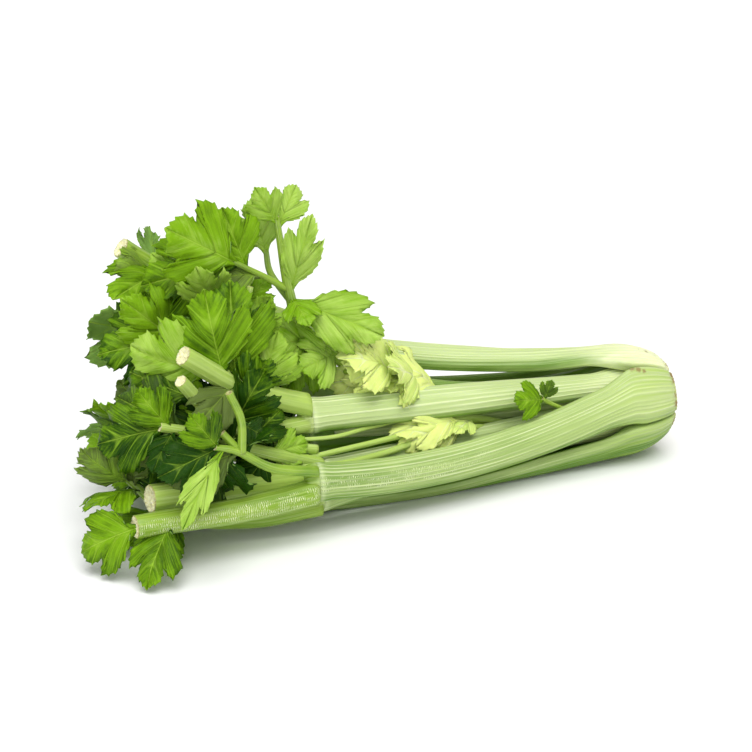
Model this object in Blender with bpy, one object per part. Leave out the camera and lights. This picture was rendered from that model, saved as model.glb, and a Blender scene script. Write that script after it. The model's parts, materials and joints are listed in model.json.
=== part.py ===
"""A head of celery lying on its side: a trimmed root crown, ribbed stalks wrapped round it, and leafy tops.

Lengths in the tables are millimetres. X runs along the head, from the leaves to the root; Z is up.
"""

import math
from collections import namedtuple

import bmesh
import bpy
from mathutils import Matrix, Quaternion, Vector
from mathutils.bvhtree import BVHTree

MM = 0.001
GAP = 0.35  # clear space between pieces that touch

# The base of the head
AXIS_Y, AXIS_Z = 8.0, 38.0  # the head's own axis, where it lies on its belly
BUTT_X = 212.0  # the cut root plate
OUTER_END_X = 208.0  # where the outer stalks were cut
CROWN_X = 191.0  # inside face of the crown, where the inner stalks grow from it
CLOSED_X = 182.0  # from here to the butt the stalks close round each other
FLARE_X = 150.0  # where they start to widen towards that
BELLY_X = 172.0  # the widest place
BUTT_STATIONS = (OUTER_END_X, 204.0, 198.0)
CURL_IN = 0.80  # how far the butt rounds in
CHORD = 0.968  # how far the flat facets of a stalk's inside stand in from their circle
FLOOR_Z = 1.7  # the underside is flattened here by the head's weight

# The three rings of stalks at the base: radius to the middle of the wall, wall thickness, height of the ribs
Layer = namedtuple("Layer", "radius wall rib ribs end_x")
OUTER = Layer(32.8, 9.0, 0.7, 5, OUTER_END_X)
INNER = Layer(22.3, 8.4, 0.5, 5, CROWN_X - GAP)
HEART = Layer(13.0, 7.6, 0.4, 3, CROWN_X - GAP)
CORE_RADIUS = 7.9

# angle: place round the head's axis, 0 at the back, 90 on top, 180 at the front, 270 below.
# wrap: half of the angle that the stalk takes up round the closed base.
# knuckle: centre of the joint where the leafy top starts; facing: the way its ribbed side looks there.
# widths: across the ribbed side, at the belly and at the knuckle.
# bow: how far the middle leaves the straight line; curl: the radius of the ribbed side at the knuckle.
Stalk = namedtuple("Stalk", "layer angle wrap knuckle facing widths wall bow curl")
STALKS = {
    "front": Stalk(OUTER, 155.5, 32.0, (-54, -60, 40), 172, (28, 24), 9.0, (-3, -14), 16),
    "top": Stalk(OUTER, 81, 40.6, (2, 38, 86.5), 112, (31, 25), 9.0, (6, -4.5), 16),
    "bottom": Stalk(OUTER, 227.6, 38.0, (-42, -13, 5.4), 266, (31, 25), 9.0, (-0.5, -5.0), 19),
    "back": Stalk(OUTER, 6, 33.0, (-46, 55, 58), 12, (31, 25), 9.0, (1, -3), 17),
    "middle": Stalk(INNER, 128.5, 37.5, (-46, -22, 68), 142, (18.4, 23), 8.6, (0.8, 1), 14),
    "front_low": Stalk(INNER, 214, 37.0, (-46, -43, 18.5), 215, (20, 17), 6.8, (-3, 3), 13),
    "back_low": Stalk(OUTER, 299.5, 32.0, (-40, 32, 13), 300, (30, 24), 9.0, (1, -5), 17),
    "rising": Stalk(INNER, 43.5, 45.0, (-8, 10, 81), 60, (21, 19), 7.6, (6, -12), 12),
    "inner": Stalk(INNER, 301, 43.0, (-34, 18, 32), 300, (22, 19), 7.6, (0, 0), 13),
    "tucked": Stalk(HEART, 187, 45.0, (-42, -36, 33.5), 172, (19, 21), 7.6, (2, -3), 13),
    "sprig": Stalk(INNER, 172, 4.2, (134, -15.5, 43), 172, (3.4, 3.2), 3.0, (0, 0), 4),
    "lime": Stalk(HEART, 62, 45.0, (50, 4, 57), 90, (15, 12), 6.0, (-1, -2), 8),
    "deep": Stalk(HEART, 304, 70.0, (96, 0, 30), 250, (15, 10), 5.4, (0, 0), 8),
}

# A branch of a leafy top: its route, its radius at the start and the end, and the branch it grows out of
# when that isn't the knuckle.
Branch = namedtuple("Branch", "route radii parent", defaults=[None])
# A leaf: the branch that it grows on, how far along, where its tip points, the way it faces,
# its width as a share of its length, its arch and its cup.
Blade = namedtuple("Blade", "branch along tip facing broad arch cup")
CAMERA_SIDE = (-0.3, -0.85, 0.35)
TOP_SIDE = (-0.1, -0.45, 0.9)
LEFT_SIDE = (-0.8, -0.5, 0.3)
BACK_SIDE = (-0.3, 0.9, 0.4)

BRANCHES = {
    "front": {
        "rachis": Branch([(-50, -59, 35), (-100, -66, 33), (-166, -73, 35)], (8.0, 6.6)),
        "thin": Branch([(-50, -61, 47), (-84, -71, 58), (-106, -75, 73), (-121, -81, 80)], (3.4, 1.7)),
        "shoot": Branch([(-103, -75, 71), (-104, -76, 92), (-111, -78, 110)], (2.6, 2.2), "thin"),
        "spur": Branch([(-103, -75, 70), (-114, -72, 84)], (2.4, 2.2), "thin"),
    },
    "top": {
        "rachis": Branch([(7, 37, 88), (-45, 42, 109), (-84, 45, 126)], (7.4, 6.4)),
        "side": Branch([(-28, 40, 102), (-62, 24, 116), (-98, 4, 136)], (3.0, 1.8), "rachis"),
    },
    "bottom": {
        "rachis": Branch([(-38, -13, 7.5), (-90, -20, 9), (-132, -24, 12)], (6.0, 4.6)),
        "side": Branch([(-38, -8, 7), (-86, 6, 8), (-120, 16, 12)], (3.4, 2.0)),
    },
    "back": {
        "rachis": Branch([(-41, 56, 58), (-73, 59, 89), (-103, 56, 130), (-141, 50, 162)], (7.4, 6.4)),
        "side": Branch([(-86, 60, 104), (-104, 34, 112), (-118, 8, 112)], (2.8, 1.8), "rachis"),
        "rear": Branch([(-41, 57, 54), (-76, 72, 66), (-112, 80, 84)], (3.4, 1.8)),
    },
    "middle": {
        "rachis": Branch([(-41, -22, 72), (-89, -30, 93), (-127, -40, 121)], (7.2, 5.8)),
        "low": Branch([(-41, -22, 63), (-90, -31, 66), (-113, -39, 86), (-131, -48, 109)], (5.6, 3.8)),
        "shoot": Branch([(-72, -27, 86), (-84, -10, 118), (-77, -6, 147)], (2.6, 2.0), "rachis"),
    },
    "front_low": {
        "rachis": Branch([(-42, -43, 17), (-90, -43, 14), (-134, -38, 21), (-160, -24, 44)], (5.6, 2.2)),
    },
    "back_low": {
        "rachis": Branch([(-36, 30, 14), (-90, 18, 34), (-136, 6, 62)], (5.6, 2.2)),
        "side": Branch([(-36, 34, 15), (-86, 40, 28), (-128, 46, 34)], (3.4, 1.8)),
    },
    "rising": {
        "rachis": Branch([(-4, 10, 80), (-38, 11, 110), (-49, 8, 138), (-56, 8, 184)], (5.4, 1.9)),
        "left": Branch([(-48, 8, 137), (-64, 7, 148), (-84, 5, 160)], (2.4, 1.6), "rachis"),
        "pale": Branch([(-52, 11, 130), (-57, 18, 146), (-59, 21, 160)], (2.4, 1.7), "rachis"),
    },
    "inner": {
        "stub": Branch([(-30, 18, 33), (-76, 22, 42), (-100, 20, 54)], (4.8, 3.4)),
    },
    "tucked": {
        "stub": Branch([(-38, -36, 33), (-95, -45, 38), (-153, -56, 43)], (7.8, 8.3)),
        "long": Branch([(-38, -37, 39), (-86, -44, 59), (-122, -46, 75), (-144, -48, 83)], (4.2, 2.8)),
    },
    "sprig": {
        "stem": Branch([(136, -15.5, 43), (124, -16.5, 48), (114, -19.5, 54), (106, -25, 60)], (1.5, 1.2)),
    },
    "lime": {
        "stem": Branch([(54, 2, 58), (36, 3, 68), (14, 2, 80)], (3.6, 1.8)),
    },
    "deep": {
        "stem": Branch([(100, 0, 31), (80, -3, 40), (54, -13, 47)], (2.8, 1.6)),
    },
}

BLADES = {
    "front": [
        Blade("thin", 1.0, (-136, -85, 104), CAMERA_SIDE, 0.80, 0.10, 0.4),
        Blade("thin", 0.86, (-144, -93, 38), (-0.5, -0.8, 0.2), 0.34, 0.14, -0.9),
        Blade("thin", 0.94, (-154, -80, 66), CAMERA_SIDE, 0.75, 0.08, 0.4),
        Blade("rachis", 0.97, (-194, -52, 14), LEFT_SIDE, 0.85, 0.10, 0.4),
        Blade("rachis", 0.84, (-166, -92, 5), (-0.3, -0.5, 0.8), 0.70, 0.12, 0.5),
        Blade("thin", 0.66, (-149, -76, 62), CAMERA_SIDE, 0.80, 0.08, 0.4),
        Blade("shoot", 0.45, (-90, -66, 78), CAMERA_SIDE, 0.80, 0.08, 0.4),
    ],
    "rising": [
        Blade("rachis", 0.60, (6, -10, 108), CAMERA_SIDE, 0.60, 0.12, 0.5),
        Blade("left", 1.0, (-126, 0, 186), CAMERA_SIDE, 0.95, 0.10, 0.4),
        Blade("left", 0.80, (-88, 12, 192), CAMERA_SIDE, 0.85, 0.08, 0.4),
        Blade("left", 0.55, (-96, -2, 142), (-0.1, -0.6, 0.8), 0.85, 0.10, 0.4),
        Blade("rachis", 0.64, (-36, 0, 186), CAMERA_SIDE, 0.46, 0.06, -0.7),
        Blade("rachis", 0.97, (-70, 4, 204), CAMERA_SIDE, 0.80, 0.06, 0.4),
        Blade("rachis", 0.95, (-40, 18, 200), CAMERA_SIDE, 0.80, 0.06, 0.4),
        Blade("pale", 1.0, (-66, 26, 192), CAMERA_SIDE, 0.85, 0.08, 0.4),
        Blade("rachis", 0.61, (-44, -16, 122), TOP_SIDE, 0.90, 0.10, 0.4),
        Blade("rachis", 0.14, (-50, -14, 94), CAMERA_SIDE, 0.85, 0.10, 0.4),
        Blade("rachis", 0.26, (-70, -6, 110), CAMERA_SIDE, 0.85, 0.08, 0.4),
    ],
    "middle": [
        Blade("rachis", 0.66, (-112, -33, 157), CAMERA_SIDE, 0.80, 0.06, 0.3),
        Blade("rachis", 0.56, (-92, -16, 156), CAMERA_SIDE, 0.80, 0.08, 0.4),
        Blade("shoot", 0.45, (-66, -12, 142), CAMERA_SIDE, 0.85, 0.08, 0.4),
        Blade("rachis", 0.40, (-66, -24, 124), CAMERA_SIDE, 0.85, 0.08, 0.4),
        Blade("rachis", 0.52, (-78, -48, 116), (-0.1, -0.9, 0.2), 0.90, 0.08, 0.3),
        Blade("rachis", 0.74, (-152, -14, 122), (-0.6, -0.75, 0.1), 0.95, 0.12, 0.5),
        Blade("low", 0.60, (-142, -20, 98), (-0.5, -0.85, 0.1), 0.90, 0.12, 0.5),
        Blade("low", 0.70, (-122, -62, 74), (-0.2, -0.9, 0.2), 0.80, 0.08, 0.4),
        Blade("rachis", 0.58, (-128, -62, 84), CAMERA_SIDE, 0.60, 0.10, 0.5),
        Blade("low", 0.42, (-80, -46, 110), CAMERA_SIDE, 0.75, 0.08, 0.4),
        Blade("low", 0.50, (-128, -20, 88), CAMERA_SIDE, 0.90, 0.08, 0.4),
    ],
    "back": [
        Blade("rachis", 0.84, (-148, 30, 154), CAMERA_SIDE, 0.80, 0.08, 0.4),
        Blade("rachis", 0.66, (-80, 40, 178), CAMERA_SIDE, 0.85, 0.08, 0.4),
        Blade("side", 1.0, (-152, 6, 144), CAMERA_SIDE, 0.80, 0.08, 0.5),
        Blade("side", 0.90, (-166, 14, 108), LEFT_SIDE, 0.90, 0.10, 0.4),
        Blade("rear", 1.0, (-160, 70, 112), BACK_SIDE, 0.90, 0.10, 0.4),
        Blade("rear", 0.85, (-120, 84, 140), BACK_SIDE, 0.90, 0.08, 0.4),
        Blade("rear", 0.75, (-130, 86, 62), BACK_SIDE, 0.90, 0.10, 0.4),
        Blade("rachis", 0.78, (-116, 80, 166), BACK_SIDE, 0.90, 0.08, 0.4),
    ],
    "top": [
        Blade("side", 1.0, (-101, 8, 170), CAMERA_SIDE, 0.90, 0.06, 0.3),
        Blade("side", 0.75, (-62, 8, 148), CAMERA_SIDE, 0.80, 0.08, 0.4),
        Blade("side", 0.90, (-130, 16, 166), CAMERA_SIDE, 0.85, 0.08, 0.4),
        Blade("rachis", 0.90, (-112, 60, 112), BACK_SIDE, 0.90, 0.10, 0.4),
    ],
    "tucked": [
        Blade("long", 0.86, (-152, -60, 60), (-0.5, -0.8, 0.4), 0.90, 0.12, 0.7),
        Blade("long", 0.90, (-156, -44, 106), CAMERA_SIDE, 0.85, 0.08, 0.4),
        Blade("long", 0.70, (-144, -62, 62), CAMERA_SIDE, 0.85, 0.08, 0.4),
        Blade("long", 0.94, (-178, -30, 70), LEFT_SIDE, 0.90, 0.10, 0.4),
        Blade("long", 0.60, (-136, -66, 64), CAMERA_SIDE, 0.80, 0.08, 0.4),
        Blade("long", 0.45, (-112, -34, 84), CAMERA_SIDE, 0.90, 0.08, 0.4),
        Blade("long", 0.28, (-52, -36, 56), CAMERA_SIDE, 0.80, 0.08, 0.4),
    ],
    "front_low": [
        Blade("rachis", 1.0, (-188, -30, 64), LEFT_SIDE, 0.90, 0.10, 0.4),
        Blade("rachis", 0.90, (-186, -52, 38), LEFT_SIDE, 0.90, 0.10, 0.5),
        Blade("rachis", 0.94, (-164, -40, 92), LEFT_SIDE, 0.90, 0.08, 0.4),
        Blade("rachis", 0.66, (-158, -60, 3), (-0.3, -0.5, 0.8), 0.80, 0.10, 0.4),
    ],
    "back_low": [
        Blade("rachis", 1.0, (-174, -10, 90), LEFT_SIDE, 0.95, 0.10, 0.4),
        Blade("rachis", 0.88, (-176, 18, 44), LEFT_SIDE, 0.90, 0.12, 0.5),
        Blade("rachis", 0.90, (-150, 34, 84), LEFT_SIDE, 0.90, 0.08, 0.4),
        Blade("rachis", 0.66, (-96, -10, 94), CAMERA_SIDE, 0.90, 0.08, 0.4),
        Blade("rachis", 0.46, (-72, -8, 72), CAMERA_SIDE, 0.90, 0.08, 0.4),
        Blade("side", 1.0, (-174, 56, 44), (-0.5, 0.5, 0.7), 0.90, 0.12, 0.5),
        Blade("side", 0.85, (-134, 86, 20), (0.0, 0.3, 0.95), 0.90, 0.12, 0.5),
        Blade("side", 0.80, (-144, 66, 4), (-0.3, 0.4, 0.85), 0.90, 0.10, 0.4),
    ],
    "bottom": [
        Blade("rachis", 1.0, (-176, -34, 8), (-0.2, -0.1, 1.0), 0.90, 0.14, 0.6),
        Blade("rachis", 0.85, (-158, 2, 4), (-0.1, 0.0, 1.0), 0.85, 0.12, 0.5),
        Blade("side", 1.0, (-156, 36, 4), (-0.1, 0.2, 1.0), 0.90, 0.14, 0.6),
    ],
    "lime": [
        Blade("stem", 1.0, (-30, -4, 84), (-0.1, -0.5, 0.85), 0.95, 0.12, 0.5),
        Blade("stem", 0.80, (-22, 6, 98), CAMERA_SIDE, 0.70, 0.10, 0.4),
        Blade("stem", 0.60, (-8, -14, 82), (-0.1, -0.7, 0.7), 0.90, 0.12, 0.5),
    ],
    "deep": [
        Blade("stem", 1.0, (20, -20, 46), TOP_SIDE, 0.70, 0.10, 0.4),
        Blade("stem", 0.7, (30, -16, 52), TOP_SIDE, 0.60, 0.10, 0.4),
        Blade("stem", 0.8, (50, -27, 54), TOP_SIDE, 0.70, 0.10, 0.4),
    ],
    "sprig": [
        Blade("stem", 1.0, (84, -31, 63), CAMERA_SIDE, 0.95, 0.10, 0.4),
        Blade("stem", 0.9, (112, -26, 72), CAMERA_SIDE, 0.80, 0.10, 0.4),
    ],
}

STALK = (0.55, 0.70, 0.25)
LEAF = (0.16, 0.36, 0.05)
HEART_LEAF = (0.60, 0.72, 0.16)
ROOT = (0.86, 0.84, 0.62)

BLADE_THICK = 0.8
ROOTED = 3.0  # how far a leaf at the end of a branch reaches into it
CLEARANCE = 0.5  # room that a leaf keeps to the other tops
THICK_BRANCH = 3.3  # from this radius on a branch is drawn with more sides
COLLAR_RIBS = 3

# Half of a leaf's outline from root to tip, as shares of its length: the place on the midrib
# that the vein to this point leaves, how far along, and how far out.
HALF_OUTLINE = [
    (0.00, 0.00, 0.035),
    (0.16, 0.25, 0.16),
    (0.16, 0.40, 0.40),
    (0.16, 0.60, 0.50),
    (0.36, 0.79, 0.46),
    (0.36, 0.64, 0.16),
    (0.60, 0.84, 0.24),
    (1.00, 1.00, 0.00),
]


def smooth(t):
    """0 to 1, easing at both ends."""
    t = min(1.0, max(0.0, t))
    return t * t * (3.0 - 2.0 * t)


def mix(a, b, t):
    return a + (b - a) * t


def direction(degrees):
    """The unit vector (y, z) at an angle round the head's axis."""
    return math.cos(math.radians(degrees)), math.sin(math.radians(degrees))


def rounding(x):
    """How far the head has rounded in towards its butt: 1 at the belly."""
    past = max(0.0, (x - BELLY_X) / (BUTT_X - BELLY_X))
    return math.sqrt(1.0 - (CURL_IN * past) ** 2)


def section_points(centre, facing, curl, half_angle, wall, rib, ribs, closing):
    """The outline of a stalk across, as (y, z): ribbed outside, smooth inside, thinner at the edges."""
    ny, nz = direction(facing)
    cy, cz = centre[0] - ny * curl, centre[1] - nz * curl
    outline = []

    def add(share, offset, ridge):
        thin = mix(0.30, 1.0, math.sqrt(max(0.0, 1.0 - share * share)))
        thin = mix(thin, 1.0, closing)
        radius = curl + offset * wall * thin + ridge
        dy, dz = direction(facing + half_angle * share)
        outline.append((cy + dy * radius, cz + dz * radius))

    steps = 2 * ribs
    for i in range(steps + 1):
        add(mix(-1.0, 1.0, i / steps), 0.5, rib if i % 2 else 0.0)
    for share in (0.88, 0.32, -0.32, -0.88):
        add(share, -0.5, 0.0)
    return outline


def stalk_section(stalk, x):
    """Centre, facing, curl radius, half angle and wall of a stalk in the plane across the head at x."""
    layer = stalk.layer
    kx, ky, kz = stalk.knuckle
    k = rounding(x)
    along = max(0.0, (BELLY_X - x) / (BELLY_X - kx))
    facing_end = stalk.facing
    while facing_end - stalk.angle > 180:
        facing_end -= 360
    while facing_end - stalk.angle < -180:
        facing_end += 360
    facing = mix(stalk.angle, facing_end, smooth(along * 1.3))
    by, bz = direction(stalk.angle)
    base = (AXIS_Y + by * layer.radius * k, AXIS_Z + bz * layer.radius * k)
    bow = 4.0 * along * (1.0 - along)
    centre = (
        mix(base[0], ky, along**1.3) + stalk.bow[0] * bow,
        mix(base[1], kz, along**1.3) + stalk.bow[1] * bow,
    )
    curl = mix(layer.radius * k, stalk.curl, smooth(along * 3.0))
    closed = 2.0 * math.radians(stalk.wrap) * layer.radius * k
    width = mix(stalk.widths[0], stalk.widths[1], smooth(along * 1.6))
    closing = smooth((x - FLARE_X) / (CLOSED_X - FLARE_X))
    width = mix(width, closed, closing)
    wall = mix(layer.wall * k, stalk.wall, smooth(along * 2.0))
    joint = math.exp(-(((x - kx - 3.0) / 4.0) ** 2))  # the raised ring of the knuckle
    return centre, facing, curl, width * (1 + 0.05 * joint) / 2 / curl, wall * (1 + 0.16 * joint), closing


def stalk_ring(stalk, x):
    centre, facing, curl, half_angle, wall, closing = stalk_section(stalk, x)
    rib = stalk.layer.rib * rounding(x)
    points = section_points(
        centre, facing, curl, math.degrees(half_angle), wall, rib, stalk.layer.ribs, closing
    )
    return [Vector((x, y, max(z, FLOOR_Z))) for y, z in points]


def stalk_stations(stalk):
    """The places along a stalk where its section is drawn, from the butt to the knuckle."""
    kx = stalk.knuckle[0]
    butt = [x for x in (*BUTT_STATIONS, CROWN_X - GAP, 184.0, 178.0) if x <= stalk.layer.end_x]
    spans = max(1, round((FLARE_X - kx) / 54.0))
    free = [mix(FLARE_X, kx + 9.0, i / spans) for i in range(spans + 1)]
    return butt + [BELLY_X] + free + [kx + 3.0, kx]


def skin(bm, rings):
    """Closes rings of as many points each into a capped tube."""
    loops = [[bm.verts.new(p * MM) for p in ring] for ring in rings]
    count = len(loops[0])
    for a, b in zip(loops, loops[1:]):
        for i in range(count):
            j = (i + 1) % count
            bm.faces.new((a[i], a[j], b[j], b[i]))
    bm.faces.new(loops[0][::-1])
    bm.faces.new(loops[-1])


def solid(name, bm, colour, roughness):
    """An object from a bmesh, triangulated, with its faces pointing out and its own material."""
    bmesh.ops.recalc_face_normals(bm, faces=bm.faces[:])
    bmesh.ops.triangulate(bm, faces=bm.faces[:])
    mesh = bpy.data.meshes.new(name)
    bm.to_mesh(mesh)
    bm.free()
    body = bpy.data.objects.new(name, mesh)
    bpy.context.scene.collection.objects.link(body)
    body.data.materials.append(finish(name, colour, roughness))
    return body


def finish(name, colour, roughness):
    material = bpy.data.materials.new(name)
    material.use_nodes = True
    shader = material.node_tree.nodes["Principled BSDF"]
    shader.inputs["Base Color"].default_value = (*colour, 1.0)
    shader.inputs["Roughness"].default_value = roughness
    shader.inputs["Metallic"].default_value = 0.0
    return material


def crown():
    """The root crown: a short turned block that the stalks grow round, cut flat at the butt."""
    inside = (OUTER.radius - OUTER.wall / 2) * CHORD - GAP
    profile = [(CROWN_X, 0.0)]
    for x in (CROWN_X, *BUTT_STATIONS[::-1]):
        profile.append((x, inside * rounding(x)))
    profile.append((BUTT_X - 1.0, inside * rounding(BUTT_X) * 0.93))
    profile.append((BUTT_X, inside * rounding(BUTT_X) * 0.84))
    profile.append((BUTT_X, 0.0))
    bm = bmesh.new()
    line = [bm.verts.new(Vector((x, AXIS_Y, AXIS_Z + r)) * MM) for x, r in profile]
    edges = [bm.edges.new(pair) for pair in zip(line, line[1:])]
    bmesh.ops.spin(
        bm,
        geom=line + edges,
        cent=Vector((0, AXIS_Y, AXIS_Z)) * MM,
        axis=(1, 0, 0),
        angle=math.tau,
        steps=20,
        use_merge=True,
    )
    bmesh.ops.remove_doubles(bm, verts=bm.verts[:], dist=1e-6)
    return solid("crown", bm, ROOT, 0.6)


def stalk_solid(name, stalk):
    bm = bmesh.new()
    skin(bm, [stalk_ring(stalk, x) for x in stalk_stations(stalk)])
    return solid("stalk_" + name, bm, STALK, 0.35)


def core():
    """The innermost shoot, still rolled up in the middle of the heart."""
    bm = bmesh.new()
    rings = []
    for x, share in ((CROWN_X - GAP, 1.0), (170, 1.0), (130, 0.8), (90, 0.66), (20, 0.6), (-20, 0.3)):
        radius = CORE_RADIUS * share * rounding(x)
        drop = smooth((BELLY_X - x) / 90.0)
        centre = Vector((x, AXIS_Y, AXIS_Z + 2.0 * drop))
        turns = [math.tau * i / 8 for i in range(8)]
        rings.append([centre + Vector((0, math.cos(t), math.sin(t))) * radius for t in turns])
    skin(bm, rings)
    return solid("stalk_core", bm, STALK, 0.4)


def curve_points(route, pieces):
    """A smooth curve through a route's points: that many pieces between each two."""
    points = [Vector(p) for p in route]
    ends = [points[0] * 2 - points[1], *points, points[-1] * 2 - points[-2]]
    curve = []
    for a, b, c, d in zip(ends, ends[1:], ends[2:], ends[3:]):
        for i in range(pieces):
            t = i / pieces
            curve.append(
                (b * 2 + (c - a) * t + (a * 2 - b * 5 + c * 4 - d) * t * t
                 + (b * 3 - a - c * 3 + d) * t * t * t) / 2
            )
    return curve + [points[-1]]


def rooted(branches):
    """The branches of a top, each side branch starting right on the branch that it grows out of."""
    table = {}
    for name, branch in branches.items():
        if branch.parent:
            start = Vector(branch.route[0])
            stem = curve_points(table[branch.parent].route, 8)
            nearest = min(stem, key=lambda p: (p - start).length)
            branch = branch._replace(route=[nearest, *branch.route[1:]])
        table[name] = branch
    return table


def point_along(branch, share):
    """The place on a branch at a share of its way, held back from its end so that a leaf roots in it."""
    curve = curve_points(branch.route, 8)
    place = share * (len(curve) - 1)
    i = min(int(place), len(curve) - 2)
    point = curve[i].lerp(curve[i + 1], place - i)
    back = ROOTED - (curve[-1] - point).length
    return point + (curve[-2] - curve[-1]).normalized() * max(0.0, back)


def tube_rings(branch):
    """Rings of a branch, across its way."""
    curve = curve_points(branch.route, 2)
    sides = 8 if branch.radii[0] > THICK_BRANCH else 6
    rings = []
    side = Vector((0, 0, 1))
    for i, p in enumerate(curve):
        before, after = curve[max(0, i - 1)], curve[min(len(curve) - 1, i + 1)]
        ahead = (after - before).normalized()
        side = (side - ahead * side.dot(ahead)).normalized()
        other = ahead.cross(side)
        radius = mix(*branch.radii, i / (len(curve) - 1))
        turns = [math.tau * j / sides for j in range(sides)]
        rings.append([p + (side * math.cos(t) + other * math.sin(t)) * radius for t in turns])
    return rings


def blade_height(blade, x, y):
    """How far a leaf stands out of its plane, as a share of its length: arched along and cupped across."""
    wave = 0.10 * abs(y) * math.sin(9.0 * x + 5.0 * blade.cup + 3.0 * (y > 0))
    return 4.0 * blade.arch * x * (1.0 - x) - blade.cup * y * y + wave


def blade_place(blade, root, turn):
    """The matrix that sets a leaf on its branch: x runs to the tip, z the way it faces.

    turn is a swing, a tilt and a roll in degrees, and a size.
    """
    swing, tilt, roll, size = turn
    ahead = Vector(blade.tip) - root
    length = ahead.length * size
    ahead.normalize()
    up = Vector(blade.facing)
    up = (up - ahead * up.dot(ahead)).normalized()
    across = up.cross(ahead)
    basis = Matrix((ahead, across, up)).transposed()
    turned = (
        Quaternion((0, 0, 1), math.radians(swing)).to_matrix()
        @ Quaternion((0, 1, 0), math.radians(tilt)).to_matrix()
        @ Quaternion((1, 0, 0), math.radians(roll)).to_matrix()
    )
    return Matrix.Translation(root) @ (basis @ turned).to_4x4() @ Matrix.Scale(length, 4)


def blade_mesh(blade, place, thick):
    """Points and triangles of a leaf: the same on both faces, joined by a rim."""
    length = place.to_scale().x
    half = thick / 2 / length
    outline = HALF_OUTLINE + [(s, x, -y) for s, x, y in reversed(HALF_OUTLINE[:-1])]
    spine = sorted({s for s, _, _ in HALF_OUTLINE})
    flat = [(s, 0.0) for s in spine[:-1]] + [(x, y * blade.broad) for _, x, y in outline]
    near = {s: i for i, s in enumerate(spine[:-1])}
    tip = len(spine) - 1 + len(HALF_OUTLINE) - 1
    near[1.0] = tip
    triangles = []
    first = len(spine) - 1
    for i in range(len(outline) - 1):
        a, b = near[outline[i][0]], near[outline[i + 1][0]]
        p, q = first + i, first + i + 1
        if a == tip:
            triangles.append((b, p, q))
        else:
            triangles.append((a, p, q))
            triangles.append((a, q, b))
    triangles.append((0, first + len(outline) - 1, first))
    triangles = [t for t in triangles if len(set(t)) == 3]
    points = []
    for side in (half, -half):
        for x, y in flat:
            points.append(place @ Vector((x, y, blade_height(blade, x, y) + side)))
    under = len(flat)
    faces = list(triangles) + [(c + under, b + under, a + under) for a, b, c in triangles]
    ring = list(range(first, first + len(outline)))
    for p, q in zip(ring, ring[1:] + ring[:1]):
        faces.append((q, p, p + under))
        faces.append((q, p + under, q + under))
    return points, faces


def turns_to_try():
    """The ways a leaf may be bent clear of what is there, the smallest first."""
    swings = (0, 10, -10, 22, -22, 36, -36)
    tilts = (0, 10, -10, 22, -22, 36, -36)
    rolls = (0, 25, -25)
    tries = [
        (abs(s) + abs(t) + 0.6 * abs(r) + 130 * (1 - k), s, t, r, k)
        for s in swings
        for t in tilts
        for r in rolls
        for k in (1.0, 0.84, 0.7)
    ]
    return [t[1:] for t in sorted(tries)]


def tree_of(points, faces):
    return BVHTree.FromPolygons([tuple(p) for p in points], faces)


def tree_of_rings(rings):
    bm = bmesh.new()
    skin(bm, rings)
    bmesh.ops.triangulate(bm, faces=bm.faces[:])
    bmesh.ops.scale(bm, vec=(1 / MM, 1 / MM, 1 / MM), verts=bm.verts[:])
    tree = BVHTree.FromBMesh(bm)
    bm.free()
    return tree


def seat_blades():
    """Sets every leaf, each turned by the first try that keeps it off the floor and clear of the other tops."""
    fixed = []
    for name, stalk in STALKS.items():
        fixed.append((name, tree_of_rings([stalk_ring(stalk, x) for x in stalk_stations(stalk)])))
        fixed.append((name, tree_of_rings(collar_rings(stalk))))
        for branch in rooted(BRANCHES[name]).values():
            fixed.append((name, tree_of_rings(tube_rings(branch))))
    seated = {}
    for name, blades in BLADES.items():
        for blade in blades:
            root = point_along(rooted(BRANCHES[name])[blade.branch], blade.along)
            for turn in turns_to_try():
                place = blade_place(blade, root, turn)
                points, faces = blade_mesh(blade, place, BLADE_THICK + 2 * CLEARANCE)
                if min(p.z for p in points) < FLOOR_Z:
                    continue
                tree = tree_of(points, faces)
                if any(owner != name and tree.overlap(other) for owner, other in fixed):
                    continue
                fixed.append((name, tree))
                seated.setdefault(name, []).append((blade, place))
                break
    return seated


def collar_rings(stalk):
    """A short length of the stalk's own section past the knuckle, which the branches grow out of."""
    kx = stalk.knuckle[0]
    rings = []
    for back, share in ((GAP, 1.0), (4.0, 0.96), (8.0, 0.80)):
        centre, facing, curl, half_angle, wall, closing = stalk_section(stalk, kx)
        half = math.degrees(half_angle) * share
        points = section_points(centre, facing, curl, half, wall * share, 0.0, COLLAR_RIBS, closing)
        rings.append([Vector((kx - back, y, max(z, FLOOR_Z))) for y, z in points])
    return rings


def beyond(rings, x):
    """Rings kept off the stalk's own solid, which ends at x, and off the floor."""
    return [[Vector((min(p.x, x), p.y, max(p.z, FLOOR_Z))) for p in ring] for ring in rings]


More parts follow.
